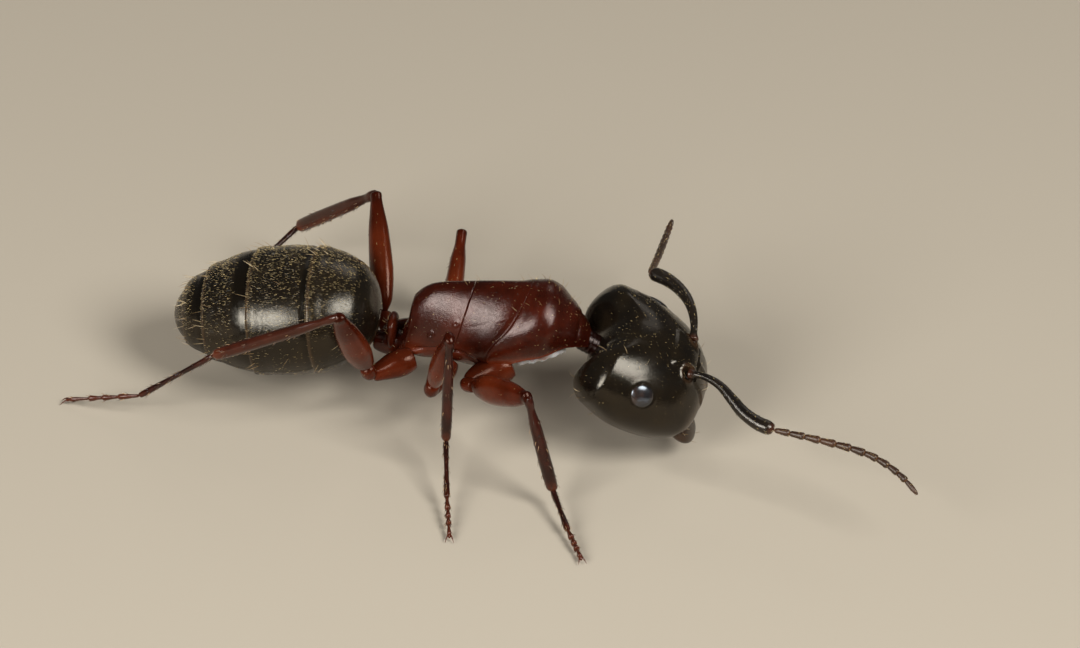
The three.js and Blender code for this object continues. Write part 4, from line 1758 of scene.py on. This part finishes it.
    def build(self, coats: CoatTree) -> None:
        """Adds the trunk's pieces.

        Args:
            coats: the tree that plants hairs.
        """
        for i, plate in enumerate(self.plates()):
            skin = self.plate_skin(plate)
            add_piece(plate.name, skin_mesh(skin, plate.name), TRUNK_SHELL, "trunk_red", plate.node)
            skin = skin.with_fields(comb=-skin.fields["comb"])
            down = Coat(GOLDEN_DOWN, 60, 0.04, 0.0034, 0.25, 0.25, seed=21 + i)
            down.grow(coats, f"{plate.node}_down", skin, "trunk_red")
            x, z = skin.points[:, 0], skin.normals()[:, 2]
            sparse = skin.with_fields(density=fade(z, 0.35, 0.8) * skin.fields["density"])
            bristles = Coat(GOLDEN_BRISTLE, 4, 0.2, 0.005, 0.8, 0.25, rows=4, seed=31 + i)
            bristles.grow(coats, f"{plate.node}_bristles", sparse, "trunk_red")
        waist = self.scale()
        add_piece("waist_scale", skin_mesh(waist, "waist_scale"), TRUNK_SHELL, "trunk_red", "petiole")
        bristles = Coat(GOLDEN_BRISTLE, 10, 0.16, 0.006, 0.7, 0.2, rows=4, seed=41)
        bristles.grow(coats, "waist_bristles", waist, "trunk_red")
        add_piece("neck_skin", skin_mesh(self.neck(), "neck_skin"), TRUNK_SHELL, "trunk_red", "neck")
        soft = self.soft_skin()
        add_piece("throat_folds", skin_mesh(soft, "throat_folds"), MEMBRANE, "trunk_red")
        Coat(WHITE_DOWN, 260, 0.09, 0.005, 0.35, 0.3, seed=43).grow(coats, "throat_down", soft, "trunk_red")


# The distance to a seam that isn't there, beyond any reach of a seam's relief.
NO_SEAM = 9.0


@dataclass
class Gaster:
    """The five overlapping rings of the gaster and its down."""

    sections: Sections = Sections((
        (-4.38, 0, 0, 0, 0, 0), (-4.25, 0, 0.42, 0.37, 0.35, 0), (-3.95, 0, 0.8, 0.7, 0.66, 0),
        (-3.45, 0, 1.13, 0.99, 0.95, 0), (-2.7, 0, 1.43, 1.25, 1.22, 0), (-1.85, 0, 1.54, 1.32, 1.3, 0),
        (-1.05, 0, 1.45, 1.24, 1.2, 0), (-0.4, 0, 1.12, 0.98, 0.94, 0), (-0.08, 0, 0.66, 0.6, 0.58, 0),
        (0.02, 0, 0, 0, 0, 0),
    ))
    bristles_per_mm2: tuple[float, ...] = (16, 18, 22, 32, 50)
    seams: tuple[float, ...] = (-1.24, -2.52, -3.55, -4.05)
    seam_gap: float = 0.006
    rings: tuple[int, ...] = (100, 80, 60, 30, 24)
    sides: int = 230
    bare_band: tuple[float, ...] = (0.0, 0.12, 0.3, 0.22, 0.05)

    def plate_skin(self, index: int) -> Skin:
        """One ring with its step, tones and places of hair.

        Args:
            index: its place from the front, from 0.

        Returns:
            The ring in its own frame.
        """
        gap = self.seam_gap / 2
        front = None if index == 0 else self.seams[index - 1] - gap
        rear = self.seams[index] + gap if index < len(self.seams) else None
        skin = self.sections.plate(rear, front, self.rings[index], self.sides)
        turn, x = np.degrees(skin.fields["turn"]), skin.fields["x"]
        flank = from_top(turn)
        within = fade(skin.fields["edge"], 0.9, 0.99)
        behind = (front - x) if front is not None else np.full_like(x, NO_SEAM)
        ahead = (x - rear) if rear is not None else np.full_like(x, NO_SEAM)
        lap = 0.03 * fade(ahead, 0.34, 0.1) - 0.02 * fade(behind, 0.16, 0.0)
        step = -0.035 * fade(flank, 126, 130) + Groove(-0.01, 0.03).cut((flank - 122) * 0.024)
        skin = skin.raised((lap + step) * within)
        band = self.bare_band[index]
        bare = fade(behind, band * 0.9, band * 1.25) if band else np.ones_like(x)
        fringe = fade(ahead, 0.25, 0.08)
        density = within * bare * (0.15 + 0.85 * fade(flank, 92, 62)) * (1 + 0.5 * fringe)
        if index == 0:
            density = density * fade(x, 0.02, -0.5)
        lip = 0.5 * fade(ahead, 0.07, 0.015)
        warm = np.clip(lip + 0.35 * fade(flank, 118, 150), 0, 1)
        return skin.with_fields(
            warm=warm, shade=0.7 * (1 - bare), density=density / 1.5, back=fade(flank, 135, 100),
            fringe=fringe * within, comb=-skin.fields["comb"],
        )

    def build(self, coats: CoatTree) -> None:
        """Adds the gaster's pieces.

        Args:
            coats: the tree that plants hairs.
        """
        for i, bristles in enumerate(self.bristles_per_mm2):
            skin = self.plate_skin(i).placed(GASTER_PLACE)
            name = f"gaster_ring_{i + 1}"
            add_piece(name, skin_mesh(skin, name), GASTER_SHELL, "gaster_black", f"gaster_{i + 1}")
            down = Coat(GOLDEN_DOWN, 900, 0.062, 0.0027, 0.18, 0.18, curl=0.1, seed=51 + i)
            down.grow(coats, name + "_down", skin, "gaster_black")
            spread = (0.06 + 0.94 * skin.fields["fringe"]) * skin.fields["back"]
            if i == 0:
                spread = spread * fade(skin.fields["x"], -0.1, -0.6)
            coat = Coat(GOLDEN_BRISTLE, bristles, 0.3, 0.0055, 0.5, 0.2, curl=0.12, rows=4, seed=61 + i)
            coat.grow(coats, name + "_bristles", skin.with_fields(density=spread), "gaster_black")


class Joint(Enum):
    """The joints of a leg, from the trunk down."""

    COXA = "coxa"
    TROCHANTER = "trochanter"
    FEMUR = "femur"
    TIBIA = "tibia"
    TARSUS = "tarsus"


@dataclass(frozen=True)
class LegSizes:
    """The lengths of a leg's joints and how stout they are."""

    coxa: float
    trochanter: float
    femur: float
    tibia: float
    tarsus: float
    coxa_radius: float
    thigh: float
    shin: float
    foot: float = 0.062


@dataclass
class Leg:
    """One leg: five joints, a spur at the shin's end and a clawed foot."""

    name: str
    sizes: LegSizes
    root: tuple[float, float, float]
    coxa: tuple[float, float]
    femur: tuple[float, float]
    tibia: tuple[float, float]
    foot: float
    shin_red: float = 0.0
    toe_height: float = 0.1
    first_foot_joint: float = 0.55
    first_joint_fall: float = 0.75
    foot_shares: tuple[float, ...] = (0.3, 0.23, 0.19, 0.28)
    foot_joints_end: float = 0.93
    spur_length: float = 0.34
    spur_clearance: float = 0.05
    claw_length: float = 0.2
    claw_spread: float = 0.55

    def marks(self) -> dict[str, Array]:
        """The points between the joints.

        Returns:
            The points by name, in the part's frame.
        """
        sizes = self.sizes
        root = ANT.points(np.array(self.root))
        hip = root + heading(*self.coxa) * sizes.coxa
        thigh = hip + heading(*self.femur) * sizes.trochanter
        knee = thigh + heading(*self.femur) * sizes.femur
        ankle = knee + heading(*self.tibia) * sizes.tibia
        fall = ankle[2] - self.toe_height
        knuckle = self.stretch(ankle, self.first_foot_joint, fall * self.first_joint_fall)
        toe = self.stretch(knuckle, 1 - self.first_foot_joint, fall * (1 - self.first_joint_fall))
        return {"root": root, "hip": hip, "thigh": thigh, "knee": knee, "ankle": ankle,
                "knuckle": knuckle, "toe": toe}

    def stretch(self, start: Array, share: float, drop: float) -> Array:
        """The end of a share of the foot.

        Args:
            start: where it begins.
            share: its share of the foot's length.
            drop: how far it drops.

        Returns:
            Where it ends.
        """
        reach = self.sizes.tarsus * share
        return start + heading(self.foot, -math.degrees(math.asin(drop / reach))) * reach

    def flat(self) -> Array:
        """The way that the leg's flat sides face."""
        return np.cross(heading(*self.femur), heading(*self.tibia))

    def joint(self, joint: Joint) -> Skin:
        """One joint with its tones and places of hair.

        Args:
            joint: which joint.

        Returns:
            The joint in the part's frame.
        """
        m, s, flat = self.marks(), self.sizes, self.flat()
        bend = unit(heading(*self.femur) - heading(*self.tibia))
        if joint is Joint.COXA:
            widths = [0, s.coxa_radius * 0.8, s.coxa_radius, s.coxa_radius * 0.68, 0.17, 0]
            profile = size_curve([0, 0.05, 0.32, 0.8, 0.94, 1], widths)
            skin = rod(m["root"], m["hip"], profile, flat, 0.95, 50, 56)
            return skin.with_fields(warm=0.15, density=0.6)
        if joint is Joint.TROCHANTER:
            profile = size_curve([0, 0.12, 0.45, 0.85, 1], [0, 0.13, 0.17, 0.15, 0])
            way = unit(m["thigh"] - m["hip"])
            skin = rod(m["hip"] - way * 0.06, m["thigh"] + way * 0.05, profile, flat, 0.95, 30, 40)
            return skin.with_fields(warm=0.1, density=0.5)
        if joint is Joint.FEMUR:
            widths = [0, 0.11, s.thigh * 0.76, s.thigh, s.thigh * 0.86, s.thigh * 0.58, 0.15, 0.15, 0]
            profile = size_curve([0, 0.03, 0.12, 0.36, 0.66, 0.86, 0.93, 0.97, 1], widths)
            way = unit(m["knee"] - m["thigh"])
            skin = rod(m["thigh"], m["knee"] + way * 0.07, profile, flat, 0.76, 90, 60)
            along = skin.fields["along"]
            under = fade(skin.normals() @ bend, -0.2, -0.9)
            warm = 0.5 * under * fade(along, 0.95, 0.8) + 0.25 * bump(along - 0.4, 0.3)
            return skin.with_fields(warm=warm, shade=0.5 * fade(along, 0.86, 0.97), density=0.6)
        if joint is Joint.TIBIA:
            return self.shin_skin(m, bend)
        return self.foot_skin(m, bend)

    def shin_skin(self, m: dict[str, Array], bend: Array) -> Skin:
        """The shin and the spur at its end, which stops short of the floor.

        Args:
            m: the leg's points.
            bend: the way that the knee points.

        Returns:
            The skin.
        """
        shin = self.sizes.shin
        widths = [0, 0.1, 0.115, 0.095, shin * 0.92, shin, shin * 0.9, 0]
        profile = size_curve([0, 0.02, 0.07, 0.13, 0.35, 0.75, 0.95, 1], widths)
        way = unit(m["ankle"] - m["knee"])
        skin = rod(m["knee"] - way * 0.04, m["ankle"] + way * 0.03, profile, self.flat(), 0.82, 90, 44)
        along = skin.fields["along"]
        inner = fade(skin.normals() @ bend, -0.1, -0.85)
        warm = self.shin_red + 0.7 * inner * fade(along, 0.1, 0.5) + 0.5 * fade(along, 0.85, 1.0)
        density = fade(along, 0.05, 0.3) * (0.15 + 0.85 * inner)
        skin = skin.with_fields(warm=np.clip(warm, 0, 1), density=density)
        root = m["ankle"] - way * 0.07 - bend * shin * 0.5
        spur_way = unit(way - bend * 0.45)
        length = min(self.spur_length, (root[2] - self.spur_clearance) / max(-spur_way[2], 0.1))
        spur = cone(root, spur_way, length, 0.028, bend * 0.04, 16, 10)
        return joined([skin, spur.with_fields(warm=0.7, density=0)])

    def foot_skin(self, m: dict[str, Array], bend: Array) -> Skin:
        """The foot's five joints, its pad and its two claws.

        Args:
            m: the leg's points.
            bend: the way that the knee points.

        Returns:
            The skin.
        """
        thick, flat = self.sizes.foot, self.flat()
        widths = [0, thick * 0.8, thick * 1.05, thick * 0.85, thick * 1.15, thick, 0]
        profile = size_curve([0, 0.015, 0.05, 0.5, 0.93, 0.985, 1], widths)
        first = rod(m["ankle"], m["knuckle"], profile, flat, 0.9, 70, 26)
        parts = [first.with_fields(warm=0.25 * fade(first.fields["along"], 0.85, 1.0), density=0.7)]
        reach = m["toe"] - m["knuckle"]
        way = unit(reach)
        marks = np.concatenate([[0], np.cumsum(self.foot_shares)]) * self.foot_joints_end
        for i, (low, high) in enumerate(zip(marks[:-1], marks[1:])):
            widest = thick * (1.02 if i < len(self.foot_shares) - 1 else 0.8)
            profile = size_curve([0, 0.08, 0.3, 0.85, 1], [0, widest * 0.6, widest * 0.72, widest * 1.12, 0])
            ends = m["knuckle"] + reach * low, m["knuckle"] + reach * high + way * 0.03
            joint = rod(*ends, profile, flat, 0.85, 24, 22)
            along = joint.fields["along"]
            warm = 0.35 + 0.3 * fade(along, 0.7, 1.0)
            parts.append(joint.with_fields(warm=warm, density=fade(along, 0.3, 0.8)))
        end = m["knuckle"] + reach * self.foot_joints_end
        across = unit(np.cross(way, (0, 0, 1.0)))
        pad_end = end + way * 0.1 - np.array([0, 0, 0.02])
        pad = rod(end, pad_end, size_curve([0, 0.5, 1], [0, 0.045, 0]), flat, 0.7, 14, 18)
        parts.append(pad.with_fields(warm=0.6, density=0))
        droop = np.array([0, 0, -end[2] - 0.04]) + way * 0.03
        spine_root = m["knuckle"] - unit(m["knuckle"] - m["ankle"]) * 0.03
        for sign in (-1, 1):
            claw_way = way + across * sign * self.claw_spread + np.array([0, 0, 0.55])
            claw = cone(end, claw_way, self.claw_length, 0.026, droop, 18, 12)
            parts.append(claw.with_fields(warm=0.5, density=0))
        for sign in (-1, 1):
            spine = cone(spine_root, way + across * sign * 0.6, 0.1, 0.01, np.zeros(3), 8, 6)
            parts.append(spine.with_fields(warm=0.6, density=0))
        return joined(parts)

    def build(self, coats: CoatTree, seed: int) -> None:
        """Adds the leg's pieces.

        Args:
            coats: the tree that plants hairs.
            seed: what sets its hairs apart from the other legs'.
        """
        upper, lower = [], []
        for joint in Joint:
            skin = self.joint(joint)
            is_upper = joint in (Joint.COXA, Joint.TROCHANTER, Joint.FEMUR)
            finish, slot = (LEG_SHELL, "leg_red") if is_upper else (SHANK_SHELL, "shank_brown")
            name = f"{self.name}_{joint.value}_shell"
            add_piece(name, skin_mesh(skin, name), finish, slot, f"{self.name}_{joint.value}")
            (upper if is_upper else lower).append(skin)
        down = Coat(GOLDEN_DOWN, 40, 0.045, 0.0034, 0.25, 0.2, seed=seed)
        down.grow(coats, f"{self.name}_thigh_down", joined(upper), "leg_red")
        bristles = Coat(RED_BRISTLE, 210, 0.12, 0.0058, 0.38, 0.15, rows=3, seed=seed + 1)
        bristles.grow(coats, f"{self.name}_shin_bristles", joined(lower), "shank_brown")


FRONT = LegSizes(1.08, 0.36, 2.14, 2.15, 2.0, 0.36, 0.33, 0.155, 0.066)
MIDDLE = LegSizes(0.82, 0.34, 2.1, 2.35, 2.5, 0.3, 0.26, 0.135)
HIND = LegSizes(1.0, 0.36, 2.6, 3.05, 3.6, 0.31, 0.3, 0.155)
LEGS = (
    Leg("front_r", FRONT, (0.45, -0.55, 1.84), (-155, -25), (-49, 25), (-17, -68), -63),
    Leg("front_l", FRONT, (0.45, 0.55, 1.84), (155, -25), (12, 6), (63, -36.8), 76),
    Leg("middle_r", MIDDLE, (-0.86, -0.5, 1.64), (-117, -44), (-71, 61), (-54, -82), -77),
    Leg("middle_l", MIDDLE, (-0.86, 0.5, 1.64), (117, -44), (94, 37), (117, -77), 40),
    Leg("hind_r", HIND, (-1.6, -0.45, 1.49), (-150.6, -19), (-110, 53.2), (172.5, -33.2), 178.8, 0.18),
    Leg("hind_l", HIND, (-1.6, 0.45, 1.49), (150, -20), (110, 41), (141, -42), -123, 0.12),
)
LEG_SEED = 101
FEELERS = (
    Feeler(Side.R, ((-12, 16), (-40, -28), (-12, 0)), ((-9, 4), (-12, 1), (-36, -29))),
    Feeler(Side.L, ((92, 34), (123, 7), (157, -7)), ((88, -18), (89, -12), (88, -6))),
)


# ---------- studio ----------


LIT_HEIGHT = 2.0


@dataclass(frozen=True)
class Softbox:
    """A soft light: where it stands round the ant, its size in millimetres and its strength."""

    name: str
    azimuth: float
    elevation: float
    distance: float
    width: float
    height: float
    power: float
    tint: Colour = (1.0, 1.0, 1.0)

    def build(self) -> None:
        """Adds the light, turned to the ant."""
        back = heading(self.azimuth - 90, self.elevation)
        lamp = bpy.data.lights.new(self.name, "AREA")
        lamp.shape = "ELLIPSE"
        lamp.size, lamp.size_y = self.width * MM, self.height * MM
        lamp.energy, lamp.color = self.power, self.tint
        holder = bpy.data.objects.new(self.name, lamp)
        holder.matrix_world = camera_matrix(back, np.array([0, 0, LIT_HEIGHT]) + back * self.distance)
        bpy.context.scene.collection.objects.link(holder)


def camera_matrix(back: Array, place: Array, roll: float = 0) -> Matrix:
    """A camera's or light's matrix.

    Args:
        back: the unit vector from its subject to it.
        place: where it is, in millimetres.
        roll: its roll in degrees.

    Returns:
        The matrix.
    """
    right = unit(np.cross((0, 0, 1.0), back))
    up = np.cross(back, right)
    r = math.radians(roll)
    across, upward = math.cos(r) * right + math.sin(r) * up, math.cos(r) * up - math.sin(r) * right
    rows = np.eye(4)
    rows[:3, 0], rows[:3, 1], rows[:3, 2], rows[:3, 3] = across, upward, back, place * MM
    return Matrix(rows.tolist())


@dataclass
class Studio:
    """The floor, the lights and the camera."""

    azimuth: float = 5
    elevation: float = 33
    roll: float = 7
    distance: float = 150
    lens: float = 240
    sensor: float = 36
    clip_start: float = 5
    clip_end: float = 5000
    scale: float = 48
    target: tuple[float, float, float] = (0, 0, 2.25)
    target_pixel: tuple[float, float] = (497, 328)
    centre_pixel: tuple[float, float] = (540, 324)
    floor_size: float = 1500
    room_tone: Colour = (0.9, 0.88, 0.85)
    room_strength: float = 0.08
    lights: tuple[Softbox, ...] = (
        Softbox("left key", -30, 27, 120, 58, 56, 0.17, (0.84, 0.92, 1.0)),
        Softbox("right key", 60, 46, 120, 62, 60, 0.17, (0.84, 0.92, 1.0)),
        Softbox("rim", 165, 40, 170, 80, 60, 0.016),
    )

    def build(self) -> None:
        """Adds the floor, the lights and the camera."""
        half = self.floor_size * MM / 2
        mesh = bpy.data.meshes.new("floor")
        corners = [(-half, -half, 0), (half, -half, 0), (half, half, 0), (-half, half, 0)]
        mesh.from_pydata(corners, [], [(0, 1, 2, 3)])
        mesh.materials.append(Paper("floor paper").material())
        floor = bpy.data.objects.new("floor", mesh)
        bpy.context.scene.collection.objects.link(floor)
        for light in self.lights:
            light.build()
        world = bpy.data.worlds.new("room")
        world.use_nodes = True
        background = world.node_tree.nodes["Background"]
        background.inputs["Color"].default_value = (*self.room_tone, 1)
        background.inputs["Strength"].default_value = self.room_strength
        bpy.context.scene.world = world
        bpy.context.scene.view_settings.view_transform = "Standard"
        self.camera()

    def camera(self) -> None:
        """Adds the camera."""
        back = heading(self.azimuth - 90, self.elevation)
        matrix = camera_matrix(back, np.zeros(3), self.roll)
        across, upward = np.array(matrix.col[0][:3]), np.array(matrix.col[1][:3])
        dx = (self.target_pixel[0] - self.centre_pixel[0]) / self.scale
        dy = -(self.target_pixel[1] - self.centre_pixel[1]) / self.scale
        place = np.array(self.target) - dx * across - dy * upward + self.distance * back
        lens = bpy.data.cameras.new("camera")
        lens.lens, lens.sensor_width = self.lens, self.sensor
        lens.clip_start, lens.clip_end = self.clip_start * MM, self.clip_end * MM
        holder = bpy.data.objects.new("camera", lens)
        holder.matrix_world = camera_matrix(back, ANT.points(place), self.roll)
        bpy.context.scene.collection.objects.link(holder)
        bpy.context.scene.camera = holder


def main() -> None:
    """Builds the ant and its studio."""
    logging.basicConfig(level=logging.INFO, format="%(message)s")
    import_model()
    coats, facets = CoatTree(), FacetTree()
    Head().build(coats, facets)
    for feeler in FEELERS:
        feeler.build(coats)
    Trunk().build(coats)
    Gaster().build(coats)
    for i, leg in enumerate(LEGS):
        leg.build(coats, LEG_SEED + 10 * i)
    Studio().build()


if __name__ == "__main__":
    main()
